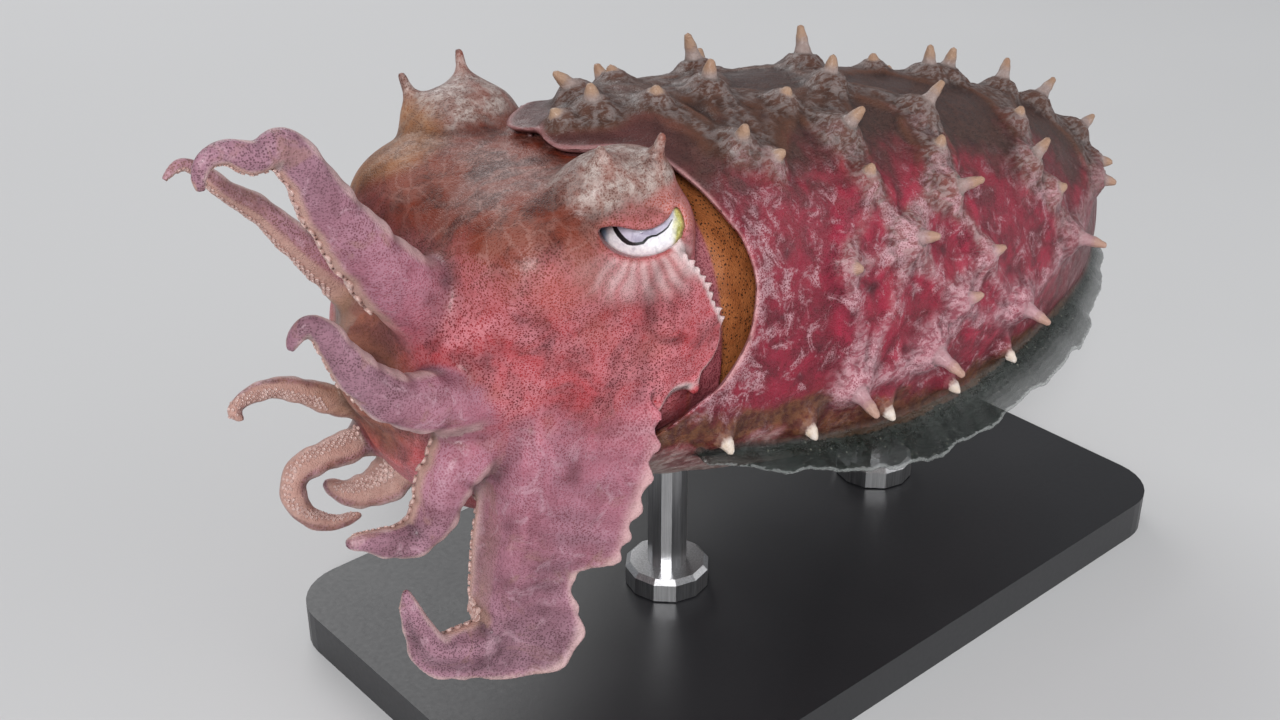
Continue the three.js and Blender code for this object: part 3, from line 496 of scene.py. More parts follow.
# ---------------------------------------------------------------- mantle field
mantle_outer = new_field()
add(mantle_outer, loft(mantle_rings(0.0, 0.0, None), start=turn(np.array([36.0, 0, 2.0])), end=turn(np.array([159.0, 0, 20.0]))), 0.01)
mantle = mantle_outer.copy()
cut(mantle, loft(mantle_rings(WALL, 6.0, 26.0, n=30)), 1.2)

papilla_list = []


def put_papilla(x, deg, h, lx, la):
    side, phi = (-1 if deg < 0 else 1), math.radians(max(abs(deg), 0.8))
    p, n, a, b = mantle_frame(float(x), phi, side)
    big = min(1.0, h / 6.0)
    ks = np.array([-0.9 / h, 0.0, 0.2, 0.45, 0.75, 1.0])
    pts_ = [p + n * k * h + (a * lx + b * la) * max(k, 0) ** 1.5 for k in ks]
    radii = np.array([3.6, 2.9, 1.8, 1.3, 1.1, 0.92]) * (0.52 + 0.48 * big)
    papilla_list.append(dict(p=p, n=n, h=h, x=float(x), deg=float(deg), pts=np.array(pts_), r=radii, tan=abs(deg) < 60))
    add_chain(mantle, pts_, radii, 3.4 * (0.5 + 0.5 * big), inner=0.8)


for row in PAPILLAE:
    put_papilla(*row)
    if abs(row[1]) > MIRROR_ABOVE:
        put_papilla(row[0] + 3 * math.sin(row[0]), -row[1], *row[2:])
for i in range(FIN_BASE["count"]):
    for s in (-1, 1):
        put_papilla(FIN_BASE["first"] + i * FIN_BASE["step"], s * (FIN_BASE["angle"] - 2.2 * i), FIN_BASE["height"], 0.5, 1)
        papilla_list[-1]["tan"] = None

# ---------------------------------------------------------------- head field
head = np.full(DIM, 12.0, np.float32)
add(head, sections(HEAD), 0.5, band=12.0)
for s in (-1, 1):
    add_ball(head, *[np.array(v) * (1, s, 1) if i == 0 else v for i, v in enumerate(EYE_BULGE)], 6.5)
    add_ball(head, *[np.array(v) * (1, s, 1) if i == 0 else v for i, v in enumerate(FOREHEAD)], 8.0)
    add_ball(head, *[np.array(v) * (1, s, 1) if i == 0 else v for i, v in enumerate(BROW)], 4.5)
add_ball(head, (-30.0, -13.0, 8.0), (9.0, 9.0, 10.0), 9.0)
add_ball(head, (-29.0, 14.0, 4.0), (9.0, 9.0, 12.0), 9.0)
for s in (-1, 1):
    for a, b, r in BROW_PAPILLAE[s]:
        a, b = np.array(a), np.array(b)
        add_chain(head, [a - (b - a) * 0.2, a + (b - a) * 0.1, a + (b - a) * 0.45, b], [r * 1.2, r * 0.85, 1.15, 0.75], 3.2, inner=0.8)
# the cheek's rear edge: a low flap over the collar with a toothed crest, a smooth lobe and a spike below
CREST = np.array([(-2.2, 31.0, 26.1), (-0.1, 31.5, 22.6), (2.4, 31.7, 20.2), (4.0, 31.9, 17.2), (5.7, 32.0, 13.4), (7.6, 32.0, 9.6), (8.2, 32.0, 6.4),
                  (6.9, 32.0, 3.2), (4.4, 31.9, 1.2), (2.3, 31.8, 0.2), (0.0, 31.7, -0.6), (-1.8, 31.6, -0.2), (-3.9, 31.6, -1.0), (-5.9, 31.6, -3.0), (-7.0, 31.6, -5.6)])
crest_line = []
for s in (-1, 1):
    c_ = CREST * (1, s, 1)
    line_, _ = catmull(c_, 90)
    crest_line.append(line_)
    for back_off, r_c in ((0.7, 0.62), (1.9, 1.0), (3.4, 1.5), (5.4, 2.2), (8.0, 3.0)):
        in_ = line_ - (0, s * (r_c - 0.5), 0)
        mid_ = np.array([-4.0, s * 30.0, 11.0])
        d_ = mid_ - in_
        d_[:, 1] = 0
        in_ = in_ + unit(d_) * back_off
        add_chain(head, in_[::3], np.full(len(in_[::3]), r_c), 1.4, inner=0.8)
    for j, k_ in enumerate(range(8, 44, 4)):
        p_, q_ = line_[k_], line_[k_ + 1]
        t_ = unit(q_ - p_)
        out_ = unit(np.cross(t_, [0, 1.0, 0]))
        out_ = out_ if out_[0] > 0 else -out_
        out_ = unit(out_ + 0.55 * np.array([0, s, 0]) - 0.35 * t_)
        high = 1.25 + 0.35 * math.sin(j * 1.9)
        add_chain(head, [p_ - out_ * 0.3, p_ + out_ * high], [0.95, 0.4], 0.9)
    add_chain(head, [(2.3, s * 31.8, 0.2), (2.5, s * 32.0, -1.6), (2.7, s * 32.1, -2.6)], [1.3, 0.9, 0.5], 1.2, inner=0.8)
neck = new_field()
add(neck, sections(NECK), 0.5)
fold_rows = NECK.copy()
fold_rows[:, 0] = [-6, 0, 5, 10.2]
fold_rows[:, 2] = [30.2, 31.0, 31.3, 31.0]
fold_rows[:, 3] = [33.4, 33.6, 33.4, 32.8]
fold_rows[:, 4] = [-20, -19, -18, -16]
add(neck, sections(fold_rows, n=40), 0.3)
funnel_a, funnel_b = np.array(FUNNEL["a"], float), np.array(FUNNEL["b"], float)
fl = [funnel_a + (funnel_b - funnel_a) * k for k in (0, 0.3, 0.72, 1.0)]

# ---------------------------------------------------------------- arms field
lines = {name: arm_lines(spec) for name, spec in ARMS.items()}


def root_fillet(q):
    d = np.sqrt(((q - np.array([-22.0, 0, 0], np.float32)) ** 2).sum(-1))
    return np.clip(4.4 - 0.16 * np.maximum(0, d - 16), 0.5, 4.4)


arms = new_field()
for name in ARMS:
    add(arms, arm_mesh(ARMS[name], lines[name]), root_fillet)
for name in ("right_1", "right_2", "right_3"):
    root_ = [lines[name]["p"][int(k * (len(lines[name]["p"]) - 1))] for k in (0.0, 0.1, 0.2, 0.3)]
    add_chain(arms, root_, [6.2, 5.6, 4.6, 3.4], 2.5, inner=1.5)
add_ball(arms, *MOUTH, 3.0, reach=5.0)

flesh = smin(head, arms, root_fillet(places(np.zeros(3, int), tuple(slice(0, n) for n in DIM)))).astype(np.float32)
flesh = smin(flesh, neck, 0.5).astype(np.float32)
add_chain(flesh, fl, [FUNNEL["root"], FUNNEL["root"] * 0.94, FUNNEL["tip"] * 1.25, FUNNEL["tip"]], 2.0, inner=2.0)
fd = unit(funnel_b - funnel_a)
a_, sl_ = block(funnel_b - 12, funnel_b + 12, 2)
bore = round_cone(places(a_, sl_), funnel_b - fd * FUNNEL["depth"], funnel_b + fd * 6, FUNNEL["bore"] * 0.8, FUNNEL["bore"] * 1.15)
flesh[sl_] = -smin(-flesh[sl_], bore, 0.8)

# ---------------------------------------------------------------- eye sockets and lids


def eye_axes(s):
    """Eyeball's middle, the way it looks, and the across and up directions as seen from outside, across towards the tail."""
    look = unit(EYE_LOOK * (1, s, 1))
    e1 = unit(np.cross(np.array([0, 0, 1.0]), look)) * (-s)
    return EYE * (1, s, 1), look, e1, unit(np.array([0, 0, 1.0]) - look * look[2])


def oval(u, v, cu, cv, a, b):
    k0 = np.sqrt(((u - cu) / a) ** 2 + ((v - cv) / b) ** 2)
    k1 = np.sqrt(((u - cu) / a**2) ** 2 + ((v - cv) / b**2) ** 2)
    return k0 * (k0 - 1) / np.maximum(k1, 1e-6)


def lid_shapes(u, v):
    """Signed distances, mm: inside the rim of the eye, and inside the upper lid."""
    rim = oval(u, v, -0.1, 1.3, 6.9, 5.0)
    lid = oval(u, v, 0.0, 5.0, 5.3, 4.35)
    flat = np.maximum(1.55 + 0.09 * (u + 3.4) - v, u + 1.5)
    return rim, smin(lid, flat, 1.2)


for s in (-1, 1):
    c, look, e1, e2 = eye_axes(s)
    a_, sl_ = block(c - 14, c + 14, 2)
    q = places(a_, sl_)
    ball = np.sqrt(((q - c) ** 2).sum(-1))
    r_ = q - c
    u_, v_, w_ = r_ @ e1, r_ @ e2, r_ @ look
    rim_, lid_ = lid_shapes(u_, v_)
    # lids: thick above, thin below
    thick_ = 0.35 + 0.95 * step(0.6, -0.6, lid_)
    flesh[sl_] = smin(flesh[sl_], ball - (EYE_R + thick_), 1.5)
    hole = np.maximum(-smin(-rim_, lid_, 0.8), 2.5 - w_)
    flesh[sl_] = -smin(-flesh[sl_], hole, 0.6)
    flesh[sl_] = -smin(-flesh[sl_], ball - (EYE_R + 0.06), 0.15)

fins = new_field()
fin_sheets = {}
for s in (-1, 1):
    r_, sheet_ = fin_blade(s)
    fin_sheets[s] = sheet_
    add(fins, loft(r_), 0.01)

whole = smin(smin(mantle, fins, 1.4), flesh, 0.3).astype(np.float32)

# ---------------------------------------------------------------- skin mesh
grid = vdb.FloatGrid()
grid.background = BAND
grid.copyFromArray(whole, ijk=tuple(int(q) for q in ORG), tolerance=0.0)
grid.transform = vdb.createLinearTransform(VOX)
pts, quads = grid.convertToQuads(isovalue=0.0)
pts, quads = np.asarray(pts, float), np.asarray(quads, np.int64)


def edges_of(f):
    e = np.concatenate([f[:, [0, 1]], f[:, [1, 2]], f[:, [2, 3]], f[:, [3, 0]]])
    return np.unique(np.sort(e, 1), axis=0)


def average(v, e):
    """Each point's mean of its neighbours' values."""
    n = len(v)
    deg = np.maximum(np.bincount(e.ravel(), minlength=n), 1)
    if v.ndim == 1:
        return (np.bincount(e[:, 0], v[e[:, 1]], n) + np.bincount(e[:, 1], v[e[:, 0]], n)) / deg
    return np.stack([average(v[:, j], e) for j in range(v.shape[1])], -1)


def relax(p, e, rounds, lam, mu):
    """Smooths a surface without shrinking it."""
    for _ in range(rounds):
        for w in (lam, mu):
            if w:
                p = p + w * (average(p, e) - p)
    return p


def normals(p, f):
    n = np.cross(p[f[:, 2]] - p[f[:, 0]], p[f[:, 3]] - p[f[:, 1]])
    return unit(np.stack([sum(np.bincount(f[:, k], n[:, j], len(p)) for k in range(4)) for j in range(3)], -1))


def largest(p, f):
    """Keeps the biggest connected piece."""
    label = np.arange(len(p))
    for _ in range(400):
        m = label[f].min(1)
        new = label.copy()
        for k in range(4):
            np.minimum.at(new, f[:, k], m)
        new = new[new]
        if (new == label).all():
            break
        label = new
    keep = label == np.bincount(label).argmax()
    idx = np.cumsum(keep) - 1
    return p[keep], idx[f[keep[f[:, 0]]]], len(p) - int(keep.sum())


pts, quads, lost = largest(pts, quads)
edge = edges_of(quads)
pts = relax(pts, edge, 2, 0.5, -0.52)
nrm = normals(pts, quads)
if (sample(whole, pts + nrm * 0.3) - sample(whole, pts - nrm * 0.3)).mean() < 0:
    quads = quads[:, ::-1]
    nrm = -nrm
print("skin", len(pts), "points", len(quads), "quads", lost, "stray points left out")

# ---------------------------------------------------------------- where each point of the skin lies
N = len(pts)
d_mantle = np.minimum(sample(mantle, pts), sample(fins, pts))
d_head, d_neck, d_arm = sample(head, pts), sample(neck, pts), sample(arms, pts)
d_flesh = sample(flesh, pts)
d_fin = sample(fins, pts)
d_outer = sample(mantle_outer, pts)
is_mantle = step(0.25, -0.25, d_mantle - d_flesh)
q_ = unturn(pts)
ax = q_[:, 0]
sz = mantle_sizes(np.clip(ax, -25, 158.5))
yy = np.abs(q_[:, 1]) / np.maximum(sz["a"], 1.0)
zz = q_[:, 2] - sz["rise"]
zz = np.where(zz > -sz["droop"], (zz + sz["droop"]) / np.maximum(sz["up"], 1), zz / np.maximum(sz["down"], 1))
ang = np.degrees(np.arctan2(yy, zz))  # 0 back, 90 side, 180 belly
rim_x = curve_table(RIM, ang)
inner = is_mantle * step(-1.0, -1.7, d_outer) * step(30, 22, ax - rim_x)
paint = {}


def near_chain(points, rows, reach):
    """For each point, the nearest sample of a chain: distance less the chain's radius, and the sample's number."""
    d = np.full(len(points), 99.0)
    k = np.zeros(len(points), int)
    lo, hi = rows[:, :3].min(0) - reach, rows[:, :3].max(0) + reach
    m = np.where(((points > lo) & (points < hi)).all(1))[0]
    if len(m):
        dd = np.linalg.norm(points[m, None] - rows[None, :, :3], axis=2) - rows[None, :, 3]
        k[m], d[m] = dd.argmin(1), dd.min(1)
    return d, k


# papillae: how far up, and the flare round them
pap, tip, halo, cone = (np.zeros(N) for _ in range(4))
for b_ in papilla_list:
    t_ = np.linspace(0, 1, 14)
    ks_ = np.linspace(0, 1, len(b_["r"]))
    rows_ = np.stack([np.interp(t_, ks_, b_["pts"][:, j]) for j in range(3)] + [np.interp(t_, ks_, b_["r"])], -1)
    d_, k_ = near_chain(pts, rows_, 14.0)
    up_ = np.clip((t_[k_] - 0.12) / 0.88, 0, 1)
    m_ = d_ < 3.0
    pap = np.maximum(pap, np.where(m_, step(0.0, 0.3, up_) * step(2.2, 0.8, d_), 0))
    if b_["tan"] is None:
        cone = np.maximum(cone, np.where(m_, step(0.0, 0.25, up_) * step(2.4, 0.8, d_), 0))
        tip = np.maximum(tip, np.where(m_, 0.0, 0))
    else:
        tip = np.maximum(tip, np.where(m_, step(0.62, 0.9, up_) * step(2.0, 0.6, d_), 0))
        r0 = np.linalg.norm(pts - b_["p"], axis=1)
        halo = np.maximum(halo, np.exp(-((r0 / (2.2 + 0.75 * b_["h"])) ** 2)) * min(1.0, b_["h"] / 5.0))

# ridges that join neighbouring papillae
main = [b_ for b_ in papilla_list if b_["tan"] is not None]
pairs = set()
for i, p1 in enumerate(main):
    ds = sorted((float(np.linalg.norm(p1["p"] - p2["p"])), j) for j, p2 in enumerate(main) if j != i)
    for d_, j in ds[:3]:
        if d_ < 38:
            pairs.add((min(i, j), max(i, j)))
rows_ = []
for i, j in sorted(pairs):
    p1, p2 = main[i], main[j]
    n_ = max(6, int(np.linalg.norm(p1["p"] - p2["p"]) / 0.8))
    for t_ in np.linspace(0, 1, n_):
        x_ = p1["x"] + (p2["x"] - p1["x"]) * t_ + 2.2 * math.sin(math.pi * t_) * math.sin(i * 3.1 + j)
        g_ = p1["deg"] + (p2["deg"] - p1["deg"]) * t_ + 4.0 * math.sin(math.pi * t_) * math.cos(i + j * 2.7)
        m_ = mantle_point(x_, math.radians(abs(g_)), -1 if g_ < 0 else 1)
        hh_ = p1["h"] * (1 - t_) + p2["h"] * t_
        rows_.append([*m_, 0.6 + 0.4 * abs(2 * t_ - 1) ** 1.3, min(1.0, hh_ / 5)])
rows_ = np.array(rows_)
tree = KDTree(len(rows_))
for i, r_ in enumerate(rows_):
    tree.insert(r_[:3], i)
tree.balance()
ridge = np.zeros(N)
near_ridge = np.full(N, 20.0)
warp = np.stack([noise3(pts, 5.0, 11 + k) for k in range(3)], -1) * 1.3
wide = np.where(is_mantle > 0.4)[0]
for i in wide:
    _, k, d = tree.find(pts[i] + warp[i])
    a_, h_ = rows_[k, 3], rows_[k, 4]
    near_ridge[i] = d
    ridge[i] = math.exp(-((d / (1.5 + 1.6 * a_)) ** 2)) * a_ * (0.45 + 0.55 * h_)
outerm = is_mantle * (1 - inner)
fin = np.zeros(N)
near_fin = np.where((d_fin < 0.8) & (is_mantle > 0.4))[0]
for s in (-1, 1):
    sh = fin_sheets[s]
    t_ = KDTree(sh.shape[0] * sh.shape[1])
    flat_ = sh.reshape(-1, 3)
    for i, p_ in enumerate(flat_):
        t_.insert(p_, i)
    t_.balance()
    for i in near_fin[(pts[near_fin, 1] * s) > 0]:
        _, k, d = t_.find(pts[i])
        if d < 2.5:
            fin[i] = (k % sh.shape[1]) / (sh.shape[1] - 1)
fin_mask = step(0.22, 0.4, fin) * step(-1.0, 1.2, d_outer)
belly = step(100, 118, ang)
ridge *= (1 - 0.85 * belly) * (1 - fin_mask)
halo *= (1 - fin_mask)

# fibres that fan out from each papilla
fan, fan_w = np.zeros(N), np.full(N, 99.0)
for k_, b_ in enumerate(main):
    i_ = np.where((np.abs(pts - b_["p"]).max(1) < 17) & (is_mantle > 0.4))[0]
    v_ = pts[i_] - b_["p"]
    a_ax = unit(mantle_point(b_["x"] + 0.5, math.radians(max(abs(b_["deg"]), 0.8)), -1 if b_["deg"] < 0 else 1) - b_["p"])
    b_ax = np.cross(b_["n"], a_ax)
    r_ = np.linalg.norm(v_, axis=1)
    th_ = np.arctan2(v_ @ b_ax, v_ @ a_ax)
    w_ = r_ / (0.6 + 0.4 * min(1.0, b_["h"] / 5))
    up_ = w_ < fan_w[i_]
    i2 = i_[up_]
    fan_w[i2] = w_[up_]
    cyc = 11 + k_ % 5
    fan[i2] = (np.sin(th_ * cyc + 5.0 * noise3(pts[i_], 2.2, 50 + k_ % 5)) * step(13, 5, r_) * step(0.6, 2.5, r_))[up_]

# relief of the mantle: ridges raised, cells between them a little sunk
relief = outerm * (1 - fin_mask) * (0.9 * ridge - 0.7 * step(2.0, 8, near_ridge) * (1 - belly) + 0.25 * np.exp(-(((near_ridge - 3.4) / 1.1) ** 2)) * step(60, 40, ang)
                                    + 0.13 * noise3(pts, 3.1, 3) + (0.12 * noise3(pts, 1.5, 4) + 0.045 * fan) * (0.25 + ridge + halo))
edge_near = step(0.0, 5.0, ax - rim_x)
relief *= (0.25 + 0.75 * edge_near) * (1 - 0.8 * pap)
pts = pts + nrm * relief[:, None]
nrm = normals(pts, quads)
# painted shade: how deep each point sits in a crease, later used to darken creases and slightly lighten bulges in the
# skin colour
soft = pts.copy()
for _ in range(14):
    soft = soft + 0.6 * (average(soft, edge) - soft)
crease_depth_for_shade = np.clip(((soft - pts) * nrm).sum(1) / 0.25, -1, 1)  # above 0 in creases

# arms: place along, across and which face
arm_s, arm_u, arm_on, arm_oral = np.zeros(N), np.zeros(N), np.zeros(N), np.zeros(N)
best = np.full(N, 1e9)
for name, line in lines.items():
    lo, hi = line["p"].min(0) - 20, line["p"].max(0) + 20
    m_ = np.where(((pts > lo) & (pts < hi)).all(1) & (d_arm < 1.5) & (is_mantle < 0.5))[0]
    for part in np.array_split(m_, max(1, len(m_) // 20000)):
        if not len(part):
            continue
        dv = pts[part, None] - line["p"][None]
        k = (dv**2).sum(2).argmin(1)
        v = dv[np.arange(len(part)), k]
        across = (v * line["b"][k]).sum(1)
        w_ = np.where(across >= 0, line["wk"][k], line["wf"][k])
        outw = (v * line["n"][k]).sum(1)
        rr = np.sqrt((across / np.maximum(w_, 0.5)) ** 2 + (outw / np.maximum(line["h"][k], 0.5)) ** 2)
        score = np.abs(rr - 1) + 0.2 * np.linalg.norm(v, axis=1) / 10
        up = score < best[part]
        i_ = part[up]
        best[i_] = score[up]
        arm_s[i_] = line["s"][k][up]
        arm_u[i_] = np.abs(across / np.maximum(w_, 0.5))[up]
        c_ = np.stack([line["p"][k][:, 0] - 12, np.full(len(k), 2.5), np.full(len(k), 2.0)], -1) - line["p"][k]
        c_ = unit(c_ - (c_ * line["t"][k]).sum(1)[:, None] * line["t"][k])
        arm_oral[i_] = (nrm[part] * c_).sum(1)[up]
        arm_on[i_] = 1.0
arm_w = step(1.2, -0.6, d_arm - d_head) * (1 - is_mantle) * step(0.05, 0.3, arm_s)
print("arms done")

ZERO = np.zeros(N)


def spot_mask(spots, sharp=1.0):
    """Soft spots: x, y, z, radius, strength."""
    out = np.zeros(N)
    for x, y, z, r, k in spots:
        d = np.linalg.norm(pts - (x, y, z), axis=1) + 0.5 * r * noise3(pts, r * 0.9, int(abs(x * 7 + z * 3)))
        out = np.maximum(out, k * np.exp(-((d / r) ** 2) * sharp))
    return out


paint["p_mantle"] = is_mantle
paint["p_inner"] = inner
paint["p_neck"] = (1 - is_mantle) * step(-0.15, 0.15, np.minimum(d_head, d_arm) - d_neck)
paint["p_arm"] = arm_w
paint["p_arm_s"] = arm_s
paint["p_edge"] = arm_w * step(0.6, 2.0, d_head) * arm_on * (1 - is_mantle) * step(0.8, 1.0, arm_u) * step(0.12, 0.3, arm_s)
paint["p_oral"] = arm_w * step(0.0, 1.0, d_head) * arm_on * (1 - is_mantle) * step(0.35, 0.7, arm_oral) * step(0.1, 0.25, arm_s)
paint["p_ridge"] = np.clip(ridge * 0.9 + halo * 0.8, 0, 1)
paint["p_pap"] = pap
paint["p_fan"] = fan
paint["p_tip"] = tip
paint["p_cone"] = cone
paint["p_fin"] = fin_mask
paint["p_finout"] = fin
paint["p_angle"] = ang / 180.0
# painted shade in creases, painted light on bulges
paint["p_painted_crease_shade"] = crease_depth_for_shade
paint["p_rim"] = is_mantle * step(1.4, 0.2, np.abs(ax - rim_x)) * (1 - inner) * (0.6 + 0.4 * step(25, 45, ang))
paint["p_axial"] = ax / 160.0


# more masks
flesh_m = 1 - is_mantle
paint["p_cell"] = step(1.5, 7.5, near_ridge) * is_mantle * (1 - inner)
paint["p_height"] = np.clip((pts[:, 2] + 30) / 75, 0, 1)
paint["p_rimzone"] = is_mantle * step(16, 2, ax - rim_x) * step(35, 50, ang)
# front lobe of the mantle: dark red with painted shade in the hollows between ridges
paint["p_lobe_red_and_shade"] = is_mantle * step(10, -4, ax) * step(70, 40, ang)
paint["p_spot"] = spot_mask(MANTLE_SPOTS) * is_mantle
paint["p_dark"] = spot_mask(DARK_SPOTS) * flesh_m
paint["p_red"] = spot_mask(RED_SPOTS) * flesh_m
head_only = flesh_m * (1 - paint["p_neck"]) * (1 - arm_w)
near_eye = np.minimum(*(np.linalg.norm(pts - EYE * (1, s, 1), axis=1) for s in (-1, 1)))
paint["p_top"] = head_only * (1 - 0.85 * step(16, 11, near_eye) * step(37, 33, pts[:, 2])) * step(19, 30, pts[:, 2] + 3.0 * noise3(pts, 6, 21) - 0.12 * np.abs(pts[:, 1]))
brow_d, lid_m, ray_m = np.full(N, 9.0), np.zeros(N), np.zeros(N)
for s in (-1, 1):
    bc, br = np.array(BROW[0]) * (1, s, 1), np.array(BROW[1])
    low_ = (pts - bc) / br
    low_[:, 2] *= np.where(low_[:, 2] > 0, 0.55, 1.0)
    brow_d = np.minimum(brow_d, np.sqrt((low_**2).sum(1)))
    c, look, e1, e2 = eye_axes(s)
    r_ = pts - c
    u_, v_, w_ = r_ @ e1, r_ @ e2, r_ @ look
    near = np.linalg.norm(r_, axis=1)
    rim_, lid_ = lid_shapes(u_, v_)
    lid_m = np.maximum(lid_m, step(12.4, 10.4, near) * step(-0.5, 1.5, v_) * step(0, 2, w_) * step(-0.6, 0.2, rim_ + 1.5 * step(0.5, -0.4, lid_)))
    th_ = np.arctan2(u_, -(v_ - 1.0))
    rays_ = 0.5 + 0.5 * np.sin(th_ * 24 + 2.0 * noise3(pts, 3.0, 31))
    zone = step(0.2, 1.2, rim_) * step(9.5, 4.0, rim_) * step(0.5, -2.5, v_) * step(-1.0, 2.0, w_) * step(-1.3, -0.4, th_) * step(1.6, 0.9, th_)
    ray_m = np.maximum(ray_m, (0.35 + 0.65 * rays_) * zone)
paint["p_brow"] = head_only * step(1.5, 0.9, brow_d + 0.22 * noise3(pts, 2.5, 41)) * step(31, 37, pts[:, 2] + 1.5 * noise3(pts, 3.0, 45))
paint["p_lid"] = lid_m * flesh_m
bump_d = np.full(N, 9.0)
for s in (-1, 1):
    bump_d = np.minimum(bump_d, np.linalg.norm((pts - np.array([-21.0, s * 22.0, 30.0])) / (11.0, 12.0, 13.0), axis=1))
paint["p_bump"] = head_only * step(1.2, 0.8, bump_d + 0.15 * noise3(pts, 5.0, 43)) * step(2, 8, pts[:, 1])
paint["p_ray"] = ray_m * head_only
cr = np.full(N, 9.0)
for line_ in crest_line:
    rows_c = np.concatenate([line_ + (0.9, 0, 0), np.full((len(line_), 1), 0.6)], 1)
    cr = np.minimum(cr, near_chain(pts, rows_c, 6.0)[0])
paint["p_crest"] = step(1.1, 0.2, cr) * flesh_m
mouth_d = np.linalg.norm((pts - np.array(MOUTH[0])) / np.array(MOUTH[1]), axis=1)
paint["p_mouth"] = flesh_m * step(1.8, 0.95, mouth_d + 0.15 * noise3(pts, 4.0, 47)) * step(-22, -32, pts[:, 0])
paint["p_right"] = arm_w * step(3, 8, pts[:, 1])
paint["p_fold"] = paint["p_neck"] * step(10.9, 9.9, pts[:, 0])
ft = np.clip(((pts - funnel_a) @ (funnel_b - funnel_a)) / ((funnel_b - funnel_a) @ (funnel_b - funnel_a)), 0, 1.2)
fr = np.linalg.norm(pts - funnel_a - ft[:, None] * (funnel_b - funnel_a), axis=1)
paint["p_funnel"] = flesh_m * step(12, 9, fr) * step(-22, -27, pts[:, 2])


def make_mesh(name, p, f, smooth=True):
    me = bpy.data.meshes.new(name)
    f = np.asarray(f, np.int64)
    k = f.shape[1]
    me.vertices.add(len(p))
    me.vertices.foreach_set("co", world(p).astype(np.float32).ravel())
    me.loops.add(f.size)
    me.loops.foreach_set("vertex_index", f.astype(np.int32).ravel())
    me.polygons.add(len(f))
    me.polygons.foreach_set("loop_start", (np.arange(len(f)) * k).astype(np.int32))
    me.update(calc_edges=True)
    me.polygons.foreach_set("use_smooth", np.full(len(me.polygons), smooth))
    ob = bpy.data.objects.new(name, me)
    bpy.context.scene.collection.objects.link(ob)
    return ob


def set_paint(ob, table_):
    for key, val in table_.items():
        at = ob.data.attributes.new(key, "FLOAT", "POINT")
        at.data.foreach_set("value", np.asarray(val, np.float32))


skin = make_mesh("skin", pts, quads)
set_paint(skin, paint)
FLESH = [n for n in frame["nodes"] if not n.startswith(("stand_", "eye_"))]
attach(skin, "root")
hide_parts(*FLESH)

# ---------------------------------------------------------------- material tools


